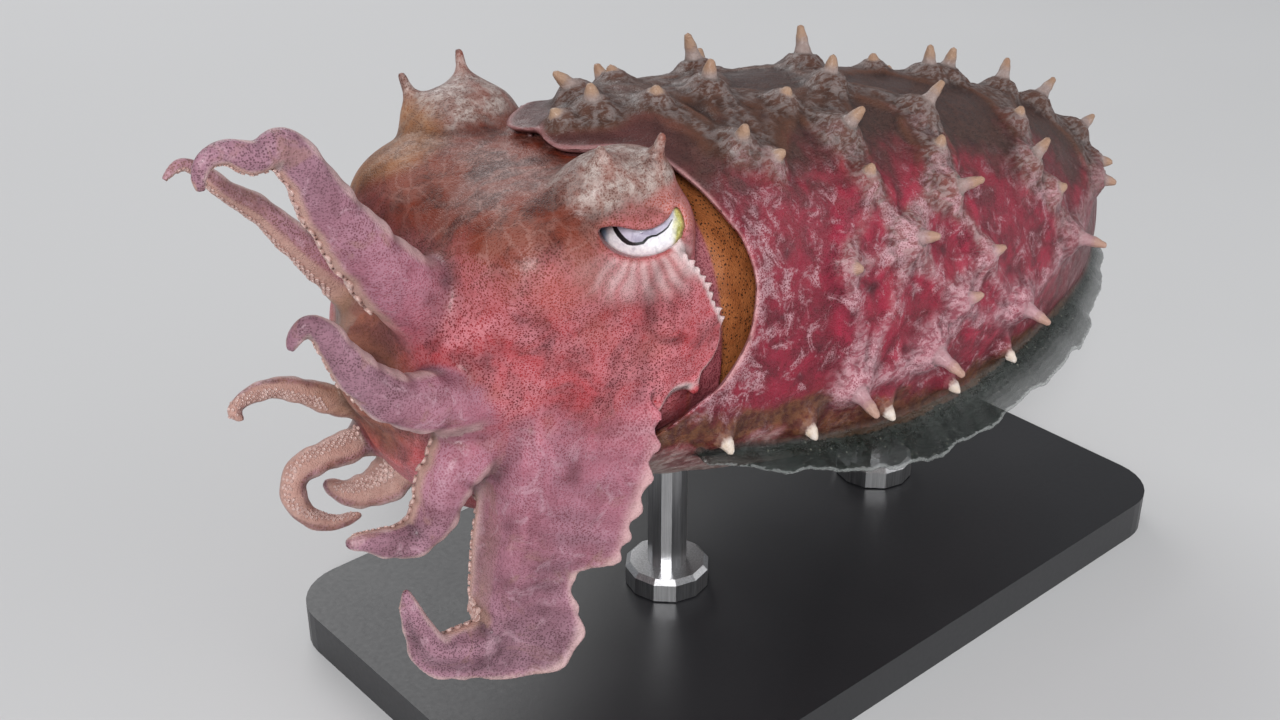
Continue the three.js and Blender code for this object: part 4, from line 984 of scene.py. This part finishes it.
class Graph:
    def __init__(self, name):
        self.m = bpy.data.materials.new(name)
        self.m.use_nodes = True
        self.t = self.m.node_tree
        self.b = self.t.nodes["Principled BSDF"]
        self.co = self.t.nodes.new("ShaderNodeTexCoord").outputs["Object"]
        self.seen = {}

    def put(self, sock, v):
        if isinstance(v, bpy.types.NodeSocket):
            self.t.links.new(v, sock)
        elif v is not None:
            sock.default_value = (*v, 1) if isinstance(v, tuple) and len(v) == 3 and sock.type == "RGBA" else v

    def at(self, name):
        if name not in self.seen:
            n = self.t.nodes.new("ShaderNodeAttribute")
            n.attribute_name = name
            self.seen[name] = n.outputs["Fac"]
        return self.seen[name]

    def stretch(self, x, y, z):
        n = self.t.nodes.new("ShaderNodeMapping")
        n.inputs["Scale"].default_value = (x, y, z)
        self.put(n.inputs["Vector"], self.co)
        return n.outputs[0]

    def noise(self, scale, detail=2.0, rough=0.5, warp=0.0, w=0.0, vec=None):
        n = self.t.nodes.new("ShaderNodeTexNoise")
        for k, v in (("Scale", scale), ("Detail", detail), ("Roughness", rough), ("Distortion", warp)):
            n.inputs[k].default_value = v
        m = self.t.nodes.new("ShaderNodeVectorMath")
        m.operation = "ADD"
        self.put(m.inputs[0], vec or self.co)
        m.inputs[1].default_value = (0.041 * w, 0.023 * w, -0.037 * w)
        self.put(n.inputs["Vector"], m.outputs[0])
        return n.outputs["Fac"]

    def cells(self, scale, feature="F1", random=1.0, vec=None, out="Distance"):
        n = self.t.nodes.new("ShaderNodeTexVoronoi")
        n.feature = feature
        n.inputs["Scale"].default_value = scale
        n.inputs["Randomness"].default_value = random
        self.put(n.inputs["Vector"], vec or self.co)
        return n.outputs[out]

    def warped(self, scale, amount):
        """The place, pushed about by soft noise."""
        n = self.t.nodes.new("ShaderNodeTexNoise")
        for k, v in (("Scale", scale), ("Detail", 2.0)):
            n.inputs[k].default_value = v
        self.put(n.inputs["Vector"], self.co)
        m = self.t.nodes.new("ShaderNodeVectorMath")
        m.operation = "MULTIPLY_ADD"
        self.put(m.inputs[0], n.outputs["Color"])
        m.inputs[1].default_value = (amount,) * 3
        self.put(m.inputs[2], self.co)
        return m.outputs[0]

    def op(self, kind, a, b=None, clamp=False):
        n = self.t.nodes.new("ShaderNodeMath")
        n.operation, n.use_clamp = kind, clamp
        self.put(n.inputs[0], a)
        self.put(n.inputs[1], b)
        return n.outputs[0]

    def mul(self, *v):
        out = v[0]
        for k in v[1:]:
            out = self.op("MULTIPLY", out, k)
        return out

    def add(self, *v):
        out = v[0]
        for k in v[1:]:
            out = self.op("ADD", out, k)
        return out

    def inv(self, v):
        return self.op("SUBTRACT", 1.0, v)

    def map(self, v, a, b, c=0.0, d=1.0):
        n = self.t.nodes.new("ShaderNodeMapRange")
        n.interpolation_type = "SMOOTHSTEP"
        for i, k in enumerate((v, a, b, c, d)):
            self.put(n.inputs[i], k)
        return n.outputs[0]

    def mix(self, f, a, b):
        n = self.t.nodes.new("ShaderNodeMix")
        n.data_type = "RGBA"
        n.clamp_factor = True
        self.put(n.inputs[0], f)
        self.put(n.inputs[6], a)
        self.put(n.inputs[7], b)
        return n.outputs[2]

    def shade(self, f, colour):
        """Multiplies a colour by a grey value."""
        n = self.t.nodes.new("ShaderNodeMix")
        n.data_type, n.blend_type, n.clamp_factor = "RGBA", "MULTIPLY", True
        n.inputs[0].default_value = 1.0
        self.put(n.inputs[6], colour)
        self.put(n.inputs[7], f)
        return n.outputs[2]

    def bump(self, *pairs):
        last = None
        for height, dist, strength in pairs:
            n = self.t.nodes.new("ShaderNodeBump")
            n.inputs["Distance"].default_value = dist
            n.inputs["Strength"].default_value = strength
            self.put(n.inputs["Height"], height)
            self.put(n.inputs["Normal"], last)
            last = n.outputs[0]
        return last

    def finish(self, **ins):
        for k, v in ins.items():
            self.put(self.b.inputs[k.replace("_", " ")], v)
        return self.m


def skin_material(name, see_through):
    g = Graph(name)
    big, mid, small = g.noise(55, 2, 0.5, 0.4), g.noise(190, 3, 0.55, 0.6, 1.0), g.noise(650, 3, 0.6, 0.0, 2.0)
    fine = g.noise(1900, 2, 0.6, 0.0, 3.0)
    # colour cells about 0.4 mm across, dark in their middles, with a pale net between them
    grain_d = g.cells(2700, random=0.8)
    net = g.map(grain_d, 0.22, 0.55)
    fibre = g.noise(1050, 3, 0.62, 0.8, 5.0, vec=g.stretch(0.45, 1.0, 1.0))
    mantle, inner, neck, arm, arm_s = (g.at("p_" + k) for k in ("mantle", "inner", "neck", "arm", "arm_s"))
    angle, ridge, cell, pap, tip, cone = (g.at("p_" + k) for k in ("angle", "ridge", "cell", "pap", "tip", "cone"))
    top, brow, lid, ray, dark, red, crest = (g.at("p_" + k) for k in ("top", "brow", "lid", "ray", "dark", "red", "crest"))
    painted_crease_shade, edge_, oral, height, fan = g.at("p_painted_crease_shade"), g.at("p_edge"), g.at("p_oral"), g.at("p_height"), g.at("p_fan")

    # head: fine pale net over rusty to crimson red
    rust = g.mix(g.map(mid, 0.36, 0.64), (.15, .008, .011), (.41, .026, .034))
    rust = g.mix(g.mul(g.map(big, 0.52, 0.66), 0.4), rust, (.40, .055, .038))
    rust = g.mix(g.map(height, 0.60, 0.80), rust, (.21, .040, .022))
    pale = g.mix(small, (.48, .085, .100), (.76, .315, .365))
    amount = g.add(g.mul(g.map(g.noise(95, 3, 0.6, 0.5, 12.0), 0.38, 0.62), 0.52), 0.30)
    head_c = g.mix(g.mul(net, amount), rust, pale)
    # crown and forehead: rusty brown under a thin grey net of veins
    web = g.map(g.cells(215, "DISTANCE_TO_EDGE", vec=g.warped(170, 0.007)), 0.15, 0.01)
    patch = g.map(g.noise(120, 3, 0.6, 0.3, 9.0), 0.44, 0.62)
    web = g.mul(g.op("MAXIMUM", g.mul(web, g.add(g.mul(patch, 0.6), 0.3)), g.mul(patch, 0.45)), g.add(g.mul(net, 0.55), 0.42))
    top_b = g.mix(g.map(mid, 0.36, 0.62), (.050, .008, .005), (.21, .031, .011))
    top_b = g.mix(g.mul(net, 0.36), top_b, (.22, .058, .038))
    top_c = g.mix(g.mul(web, 0.62), top_b, (.42, .225, .19))
    head_c = g.mix(g.mul(web, 0.14), head_c, (.56, .28, .29))
    head_c = g.mix(top, head_c, top_c)
    far = g.mix(g.map(mid, 0.35, 0.65), (.13, .036, .010), (.32, .115, .034))
    far = g.mix(g.mul(net, 0.4), far, (.40, .20, .10))
    far = g.mix(g.mul(web, 0.45), far, (.46, .32, .23))
    brow_c = g.mix(g.map(g.noise(700, 4, 0.7, 0.4, 15.0), 0.42, 0.58), (.18, .085, .066), (.46, .375, .345))
    brow_c = g.mix(g.mul(net, 0.35), brow_c, (.55, .46, .42))
    head_c = g.mix(g.mul(brow, g.add(g.mul(g.map(g.noise(230, 3, 0.6, 0.4, 26.0), 0.36, 0.6), 0.5), 0.42)), head_c, brow_c)
    head_c = g.mix(g.mul(g.at("p_bump"), 0.9), head_c, far)
    head_c = g.mix(g.mul(lid, 0.9), head_c, g.mix(g.mul(net, 0.7), (.44, .070, .030), (.60, .30, .30)))
    head_c = g.mix(g.mul(ray, 0.7), head_c, (.72, .50, .50))
    head_c = g.mix(g.mul(crest, 0.8), head_c, g.mix(small, (.66, .48, .48), (.84, .74, .73)))

    # arms: mauve-pink, paler and greyer towards their tips
    arm_lo = g.mix(g.map(mid, 0.36, 0.64), (.27, .068, .098), (.39, .118, .166))
    arm_hi = g.mix(g.map(mid, 0.36, 0.64), (.105, .042, .056), (.195, .090, .120))
    arm_b = g.mix(g.map(arm_s, 0.2, 0.7), arm_lo, arm_hi)
    arm_b = g.mix(g.mul(g.at("p_right"), 0.8), arm_b, g.mix(g.map(mid, 0.36, 0.64), (.13, .055, .030), (.30, .15, .085)))
    arm_c = g.mix(g.mul(net, g.add(0.24, g.mul(g.map(g.noise(110, 3, 0.6, 0.5, 12.0), 0.38, 0.62), 0.28))), arm_b, (.49, .265, .34))
    arm_c = g.mix(g.mul(g.map(g.noise(120, 3, 0.6, 1.0, 4.0), 0.56, 0.7), 0.5), arm_c, (.30, .16, .13))
    arm_c = g.mix(g.mul(g.map(g.noise(210, 4, 0.62, 1.4, 33.0), 0.56, 0.68), 0.35), arm_c, (.56, .36, .42))
    arm_c = g.mix(g.mul(edge_, 0.6), arm_c, (.64, .46, .43))
    arm_c = g.mix(oral, arm_c, g.mix(small, (.34, .17, .14), (.56, .36, .31)))
    flesh_c = g.mix(arm, head_c, arm_c)
    flesh_c = g.mix(g.mul(g.at("p_mouth"), 0.7), flesh_c, g.mix(g.map(mid, 0.35, 0.65), (.13, .050, .022), (.30, .14, .065)))
    flesh_c = g.mix(g.mul(g.at("p_funnel"), 0.85), flesh_c, g.mix(net, (.36, .16, .15), (.62, .45, .42)))

    # collar: caramel with small dark dots, crimson on the fold in front of it, and painted shade darkening its lower
    # part
    dots = g.map(g.cells(1450, random=0.75), 0.34, 0.22)
    neck_c = g.mix(g.map(mid, 0.3, 0.7), (.33, .10, .030), (.48, .165, .055))
    neck_c = g.mix(g.mul(dots, 0.92), neck_c, (.028, .012, .009))
    # painted shade: the collar darkens towards near-black lower down
    neck_c = g.mix(g.map(height, 0.32, 0.16), neck_c, (.05, .028, .016))
    fold_c = g.mix(net, (.20, .020, .034), (.40, .11, .13))
    neck_c = g.mix(g.at("p_fold"), neck_c, fold_c)
    flesh_c = g.mix(neck, flesh_c, neck_c)
    flesh_c = g.mix(g.mul(dark, 0.7), flesh_c, (.07, .020, .026))
    flesh_c = g.mix(g.mul(red, 0.55), flesh_c, g.mix(g.mul(net, 0.5), (.38, .048, .03), (.52, .20, .17)))

    # mantle
    rid = g.add(ridge, g.mul(g.op("SUBTRACT", mid, 0.5), 0.55), g.mul(fan, 0.05))
    side_b = g.mix(g.map(mid, 0.34, 0.62), (.12, .004, .011), (.34, .010, .036))
    side_b = g.mix(g.mul(g.map(big, 0.5, 0.7), 0.3), side_b, (.30, .034, .028))
    side_b = g.mix(g.mul(net, 0.34), side_b, (.42, .046, .098))
    rear_ = g.map(g.at("p_axial"), 0.5, 0.9)
    side_b = g.mix(g.mul(g.map(cell, 0.55, 0.95), g.add(g.mul(rear_, 0.35), 0.28)), side_b, (.085, .010, .013))
    streak = g.map(g.add(fibre, g.mul(fan, 0.05)), 0.42, 0.60)
    side_m = g.mix(streak, (.27, .080, .105), g.mix(small, (.37, .175, .20), (.54, .335, .37)))
    upper_m = g.mix(streak, (.17, .070, .055), g.mix(small, (.24, .165, .155), (.40, .31, .29)))
    side_m = g.mix(g.map(angle, 0.46, 0.26), side_m, upper_m)
    side_c = g.mix(g.mul(g.map(rid, 0.24, 0.84), 0.85), side_b, side_m)
    mott = g.map(g.add(g.noise(260, 4, 0.68, 0.8, 20.0), g.mul(g.at("p_rimzone"), 0.12), g.mul(ridge, 0.1)), 0.52, 0.72)
    side_c = g.mix(g.mul(mott, g.add(g.mul(net, 0.6), 0.22)), side_c, g.mix(net, (.34, .11, .14), (.58, .33, .37)))
    side_c = g.mix(g.mul(rear_, 0.58), side_c, (.10, .024, .026))
    back_b = g.mix(g.map(small, 0.35, 0.65), (.026, .010, .008), (.062, .027, .021))
    back_b = g.mix(g.mul(net, 0.4), back_b, (.13, .065, .052))
    back_b = g.mix(g.mul(g.map(cell, 0.75, 0.35), 0.6), back_b, g.mix(mid, (.085, .030, .014), (.14, .052, .026)))
    back_m = g.mix(g.map(g.add(fibre, g.mul(fan, 0.05)), 0.42, 0.60), (.088, .039, .027), g.mix(small, (.108, .077, .072), (.25, .20, .188)))
    back_c = g.mix(g.mul(g.map(rid, 0.22, 0.76), 0.92), back_b, back_m)
    line_ = g.add(angle, g.mul(g.op("SUBTRACT", big, 0.5), 0.22), g.mul(g.op("SUBTRACT", mid, 0.5), 0.1))
    mantle_c = g.mix(g.map(line_, 0.15, 0.31), back_c, side_c)
    # dark red and painted shade in the hollows between ridges on the mantle's front lobe
    mantle_c = g.mix(g.mul(g.at("p_lobe_red_and_shade"), g.map(ridge, 0.5, 0.15), 0.75), mantle_c, g.mix(g.mul(net, 0.4), (.095, .018, .018), (.17, .070, .066)))
    band = g.mul(g.map(line_, 0.55, 0.60), g.map(line_, 0.70, 0.64))
    mantle_c = g.mix(g.mul(band, 0.8), mantle_c, g.mix(g.map(small, 0.35, 0.65), (.060, .022, .010), (.17, .080, .030)))
    freckle = g.cells(560)
    belly_c = g.mix(g.map(small, 0.4, 0.6), (.33, .20, .18), (.56, .45, .42))
    belly_c = g.mix(g.mul(g.map(freckle, 0.3, 0.15), 0.4), belly_c, (.30, .08, .07))
    mantle_c = g.mix(g.map(line_, 0.65, 0.73), mantle_c, belly_c)
    mantle_c = g.mix(g.mul(g.at("p_spot"), 0.85), mantle_c, (.028, .008, .012))
    mantle_c = g.mix(g.mul(g.at("p_rim"), 0.7), mantle_c, g.mix(small, (.44, .17, .18), (.66, .40, .40)))
    # papillae
    pap_c = g.mix(g.map(angle, 0.24, 0.44), g.mix(small, (.25, .175, .155), (.46, .375, .35)), g.mix(small, (.33, .16, .18), (.54, .37, .39)))
    mantle_c = g.mix(g.mul(pap, 0.75), mantle_c, pap_c)
    tip_c = g.mix(g.map(angle, 0.3, 0.45), g.mix(mid, (.30, .13, .055), (.44, .30, .19)), (.44, .28, .195))
    mantle_c = g.mix(g.mul(tip, 0.7), mantle_c, tip_c)
    mantle_c = g.mix(g.mul(cone, 0.9), mantle_c, g.mix(small, (.60, .42, .24), (.74, .74, .74)))
    mantle_c = g.mix(inner, mantle_c, g.mix(small, (.34, .13, .10), (.50, .26, .22)))
    # fin
    fin, out = g.at("p_fin"), g.at("p_finout")
    fin_c = g.mix(g.map(small, 0.3, 0.7), (.008, .012, .009), (.034, .044, .038))
    fin_c = g.mix(g.mul(g.map(freckle, 0.16, 0.07), 0.6), fin_c, (.26, .27, .22))
    fin_c = g.mix(g.map(out, 0.48, 0.24), fin_c, (.12, .062, .030))
    fin_c = g.mix(g.map(out, 0.95, 0.995), fin_c, (.30, .32, .31))
    mantle_c = g.mix(fin, mantle_c, fin_c)

    colour = g.mix(mantle, flesh_c, mantle_c)
    # painted shade and light: colour darkened to half in creases and lightened a little on bulges
    shade_ = g.map(painted_crease_shade, -0.7, 0.9, 1.12, 0.5)
    colour = g.shade(shade_, colour)
    rough = g.add(g.mul(g.map(small, 0.3, 0.7), 0.16), g.mul(grain_d, 0.1), 0.3)
    rough = g.op("SUBTRACT", rough, g.mul(fin, 0.14))
    bump = g.bump((g.mul(net, g.inv(g.mul(mantle, 0.5))), 0.00010, 0.7), (g.add(small, g.mul(fibre, g.mul(mantle, 1.2))), 0.0004, 0.5), (fine, 0.0001, 0.5))
    g.put(g.b.inputs["Normal"], bump)
    if see_through:
        g.put(g.b.inputs["Alpha"], g.map(out, 0.3, 0.95, 1.0, 0.45))
    g.b.inputs["Coat Weight"].default_value = 0.08
    g.b.inputs["Coat Roughness"].default_value = 0.16
    g.b.inputs["Specular IOR Level"].default_value = 0.28
    return g.finish(Base_Color=colour, Roughness=rough)


skin.data.materials.append(skin_material("skin", False))
skin.data.materials.append(skin_material("fin_membrane", True))
face_fin = paint["p_fin"][quads].min(1) > 0.5
skin.data.polygons.foreach_set("material_index", face_fin.astype(np.int32))

# ---------------------------------------------------------------- eyeballs
PUPIL = np.array([(-5.2, 2.2, .3), (-4.71, 1.48, .6), (-4.22, .48, .74), (-3.73, -.24, .8), (-3, -1.01, .78), (-2.28, -1.52, .7), (-1.55, -1.71, .56),
                  (-.85, -1.7, .52), (.15, -1.49, .46), (.88, -.72, .4), (1.6, -.41, .34), (2.33, -.34, .3), (3.49, .35, .26), (4.2, .96, .24), (4.9, 2.1, .2)])
for s, node in ((-1, "eye_left"), (1, "eye_right")):
    c, look, e1, e2 = eye_axes(s)
    nt, na = 150, 240
    th = np.linspace(0.004, math.pi - 0.004, nt)[:, None]
    ph = np.linspace(0, 2 * math.pi, na, endpoint=False)[None]
    u, v, w_ = np.sin(th) * np.cos(ph), np.sin(th) * np.sin(ph), np.cos(th) + 0 * ph
    p = c + EYE_R * (u[..., None] * e1 + v[..., None] * e2 + w_[..., None] * look)
    p = p.reshape(-1, 3)
    i, j = np.arange(nt - 1)[:, None], np.arange(na)[None]
    f = np.stack([i * na + j, i * na + (j + 1) % na, (i + 1) * na + (j + 1) % na, (i + 1) * na + j], -1).reshape(-1, 4)
    if s > 0:
        f = f[:, ::-1]
    cap = len(p)
    p = np.concatenate([p, [c + look * EYE_R, c - look * EYE_R]])
    u, v, w_ = ((p - c) @ e1), ((p - c) @ e2), ((p - c) @ look)
    pupil = np.full(len(p), -9.0)
    for a, b in zip(PUPIL[:-1], PUPIL[1:]):
        d = b[:2] - a[:2]
        t = np.clip(((u - a[0]) * d[0] + (v - a[1]) * d[1]) / (d @ d), 0, 1)
        pupil = np.maximum(pupil, (a[2] + (b[2] - a[2]) * t) * 0.52 - np.hypot(u - a[0] - d[0] * t, v - a[1] - d[1] * t))
    line_v = np.interp(u, PUPIL[:, 0], PUPIL[:, 1])
    ball = make_mesh(node + "_ball", p, f)
    tri = bpy.data.meshes.new("caps")
    bm_f = [[cap, k, (k + 1) % na] for k in range(na)] + [[cap + 1, (nt - 1) * na + (k + 1) % na, (nt - 1) * na + k] for k in range(na)]
    if s > 0:
        bm_f = [q[::-1] for q in bm_f]
    full = [list(map(int, q)) for q in f] + [list(map(int, q)) for q in bm_f]
    me = ball.data
    me.clear_geometry()
    me.from_pydata([tuple(q) for q in world(p)], [], full)
    me.polygons.foreach_set("use_smooth", np.ones(len(me.polygons), bool))
    set_paint(ball, dict(e_u=u, e_v=v, e_w=w_, e_pupil=pupil, e_above=v - line_v))
    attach(ball, "root")
    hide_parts(node)
    g = Graph(node)
    mid, small = g.noise(420, 3, 0.6, 0.8), g.noise(1500, 3, 0.6, 0.2, 2.0)
    uu, vv, above = g.at("e_u"), g.at("e_v"), g.at("e_above")
    white = g.mix(g.map(small, 0.35, 0.65), (.80, .77, .82), (.95, .93, .95))
    silver = g.mix(g.map(mid, 0.3, 0.7), (.34, .31, .42), (.62, .58, .70))
    col = g.mix(g.map(above, -0.6, 0.5), white, silver)
    gold = g.mix(g.map(small, 0.35, 0.65), (.34, .32, .05), (.66, .62, .20))
    rim_u = g.add(uu, g.mul(mid, 1.2))
    col = g.mix(g.map(rim_u, 5.2, 6.4), col, gold)
    col = g.mix(g.mul(g.map(rim_u, -4.6, -5.6), 0.8), col, (.22, .38, .58))
    col = g.mix(g.map(g.noise(900, 2, 0.5, 0.0, 6.0), 0.62, 0.72, 0.0, 0.35), col, (.36, .33, .38))
    # painted shade where the lids overhang the eyeball
    col = g.mix(g.map(g.at("e_lid_shade"), 0.35, 0.05, 0.0, 0.4), col, (.30, .20, .19))
    col = g.mix(g.map(g.at("e_pupil"), -0.06, 0.06), col, (.006, .006, .008))
    g.put(g.b.inputs["Normal"], g.bump((small, 0.00003, 0.3)))
    g.b.inputs["Coat Weight"].default_value = 1.0
    g.b.inputs["Coat Roughness"].default_value = 0.03
    # painted shade: how far inside the lid opening each point lies, for darkening the eyeball next to the lids
    set_paint(ball, dict(e_lid_shade=-np.maximum(lid_shapes(u, v)[0], -lid_shapes(u, v)[1])))
    ball.data.materials.append(g.finish(Base_Color=col, Roughness=g.map(mid, 0.3, 0.7, 0.25, 0.4)))

# ---------------------------------------------------------------- suckers
tree_ = BVHTree.FromPolygons([Vector(q) for q in pts], [tuple(map(int, q)) for q in quads])
cup_v, cup_f = [], []
prof = np.array([(0.7, -0.5), (0.85, 0.1), (1.0, 0.42), (0.92, 0.62), (0.7, 0.62), (0.5, 0.35), (0.0, 0.25)])
K = 12
for name, line in lines.items():
    d_along, side_ = 0.0, 0
    total = line["length"]
    pos = total * 0.27
    while pos < total * 0.965:
        sx = pos / total
        i = int(sx * (len(line["s"]) - 1))
        rad_ = float(np.clip((0.13 if name.startswith("right") else 0.16) * min(line["wf"][i], line["wk"][i], line["h"][i] * 1.3), 0.3, 0.6 if name == "left_4" else 0.85))
        p0, t0 = line["p"][i], line["t"][i]
        c_ = np.array([p0[0] - 12, 2.5, 2.0]) - p0
        c_ = unit(c_ - (c_ @ t0) * t0)
        lat = np.cross(c_, t0)
        for lane in ((-1.15, 1.15) if side_ % 2 else (-2.3, 0.0, 2.3)):
            o = p0 + lat * lane * rad_
            hit = tree_.ray_cast(Vector(o), Vector(c_), 14.0)
            if hit[0] is None or hit[3] < 0.4:
                continue
            n0 = np.array(hit[1])
            if n0 @ c_ < 0.35:
                continue
            at_ = np.array(hit[0])
            if np.linalg.norm((at_ - np.array(MOUTH[0])) / np.array(MOUTH[1])) < 1.4:
                continue
            b1 = unit(np.cross(n0, t0 + 1e-3))
            b2 = np.cross(n0, b1)
            base_ = len(cup_v)
            for pr, pz in prof[:-1]:
                for k in range(K):
                    a_ = 2 * math.pi * k / K
                    cup_v.append(at_ + rad_ * (pr * (math.cos(a_) * b1 + math.sin(a_) * b2) + pz * n0))
            cup_v.append(at_ + rad_ * prof[-1][1] * n0)
            for q in range(len(prof) - 2):
                for k in range(K):
                    cup_f.append([base_ + q * K + k, base_ + q * K + (k + 1) % K, base_ + (q + 1) * K + (k + 1) % K, base_ + (q + 1) * K + k])
            q = len(prof) - 2
            for k in range(K):
                cup_f.append([base_ + q * K + k, base_ + q * K + (k + 1) % K, base_ + (q + 1) * K])
            base_ = None
        side_ += 1
        pos += rad_ * 1.75
me = bpy.data.meshes.new("suckers")
me.from_pydata([tuple(q) for q in world(np.array(cup_v))], [], cup_f)
me.polygons.foreach_set("use_smooth", np.ones(len(me.polygons), bool))
me.update()
suckers = bpy.data.objects.new("suckers", me)
bpy.context.scene.collection.objects.link(suckers)
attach(suckers, "root")
g = Graph("suckers")
sm = g.noise(1200, 3, 0.6)
g.put(g.b.inputs["Normal"], g.bump((sm, 0.00005, 0.4)))
g.b.inputs["Coat Weight"].default_value = 0.3
g.b.inputs["Coat Roughness"].default_value = 0.15
suckers.data.materials.append(g.finish(Base_Color=g.mix(g.map(sm, 0.35, 0.65), (.40, .23, .20), (.62, .44, .40)), Roughness=g.map(sm, 0.3, 0.7, 0.3, 0.45)))
print("suckers", len(cup_f), "faces")

# ---------------------------------------------------------------- stand
g = Graph("satin_black")
a_, b_ = g.noise(900, 4, 0.65), g.noise(25, 3, 0.5, 0.3, 3.0)
g.put(g.b.inputs["Normal"], g.bump((a_, 0.00003, 0.5)))
plate = g.finish(Base_Color=g.mix(b_, (.012, .012, .014), (.026, .026, .029)), Roughness=g.add(g.mul(a_, 0.18), g.mul(b_, 0.12), 0.24))
g = Graph("brushed_steel")
a_ = g.noise(2600, 4, 0.7, 0.0, 0.0, vec=g.stretch(1.0, 1.0, 0.03))
b_ = g.noise(60, 3, 0.5, 0.2, 3.0)
g.b.inputs["Metallic"].default_value = 1.0
g.put(g.b.inputs["Normal"], g.bump((a_, 0.00002, 0.6)))
rod = g.finish(Base_Color=g.mix(g.map(a_, 0.3, 0.7), (.42, .42, .43), (.62, .62, .63)), Roughness=g.add(g.mul(a_, 0.2), g.mul(b_, 0.1), 0.18))
for ob in bpy.data.objects:
    if ob.type == "MESH" and ob.name.startswith("stand_"):
        use = plate if "base" in ob.name else rod
        if ob.material_slots:
            for sl_ in ob.material_slots:
                sl_.material = use
        else:
            print("no slot on", ob.name)

# ---------------------------------------------------------------- floor, light, camera
sc = bpy.context.scene
sc.view_settings.view_transform = "Standard"
bpy.ops.mesh.primitive_plane_add(size=8, location=(0, 0, 0))
floor = bpy.context.object
floor.name = "floor"
g = Graph("floor")
a_ = g.noise(3.0, 4, 0.5)
floor.data.materials.append(g.finish(Base_Color=g.mix(a_, (.60, .60, .60), (.66, .66, .665)), Roughness=g.map(a_, 0.3, 0.7, 0.75, 0.85)))


def light(name, at, to, size, watts, colour=(1, 1, 1)):
    d = bpy.data.lights.new(name, "AREA")
    d.size, d.energy, d.color = size, watts, colour
    o = bpy.data.objects.new(name, d)
    o.location = at
    o.rotation_euler = (Vector(to) - Vector(at)).to_track_quat("-Z", "Y").to_euler()
    sc.collection.objects.link(o)


light("key", (-0.95, -0.85, 0.85), (0, 0, 0.08), 0.4, 17)
light("fill", (0.9, -0.9, 0.55), (0, 0, 0.08), 0.9, 5)
light("back", (0.35, 1.1, 0.9), (0, 0, 0.08), 0.8, 7)
w = bpy.data.worlds.new("studio")
w.use_nodes = True
w.node_tree.nodes["Background"].inputs[0].default_value = (0.86, 0.88, 0.92, 1)
w.node_tree.nodes["Background"].inputs[1].default_value = 0.34
sc.world = w

cd = bpy.data.cameras.new("camera")
cd.lens, cd.sensor_width, cd.sensor_fit = 45, 36, "HORIZONTAL"
cd.clip_start, cd.clip_end = 0.01, 20
cam = bpy.data.objects.new("camera", cd)
sc.collection.objects.link(cam)
az, el = math.radians(-41.2), math.radians(28.5)
back_ = np.array([math.sin(az) * math.cos(el), -math.cos(az) * math.cos(el), math.sin(el)])
right_ = np.array([math.cos(az), math.sin(az), 0.0])
up_ = np.cross(back_, right_)
eye_at = world(back_ * 294.0 + right_ * 13.8 + up_ * -7.5)
m4 = Matrix.Identity(4)
for i in range(3):
    m4[i][0], m4[i][1], m4[i][2], m4[i][3] = right_[i], up_[i], back_[i], eye_at[i]
cam.matrix_world = m4
sc.camera = cam
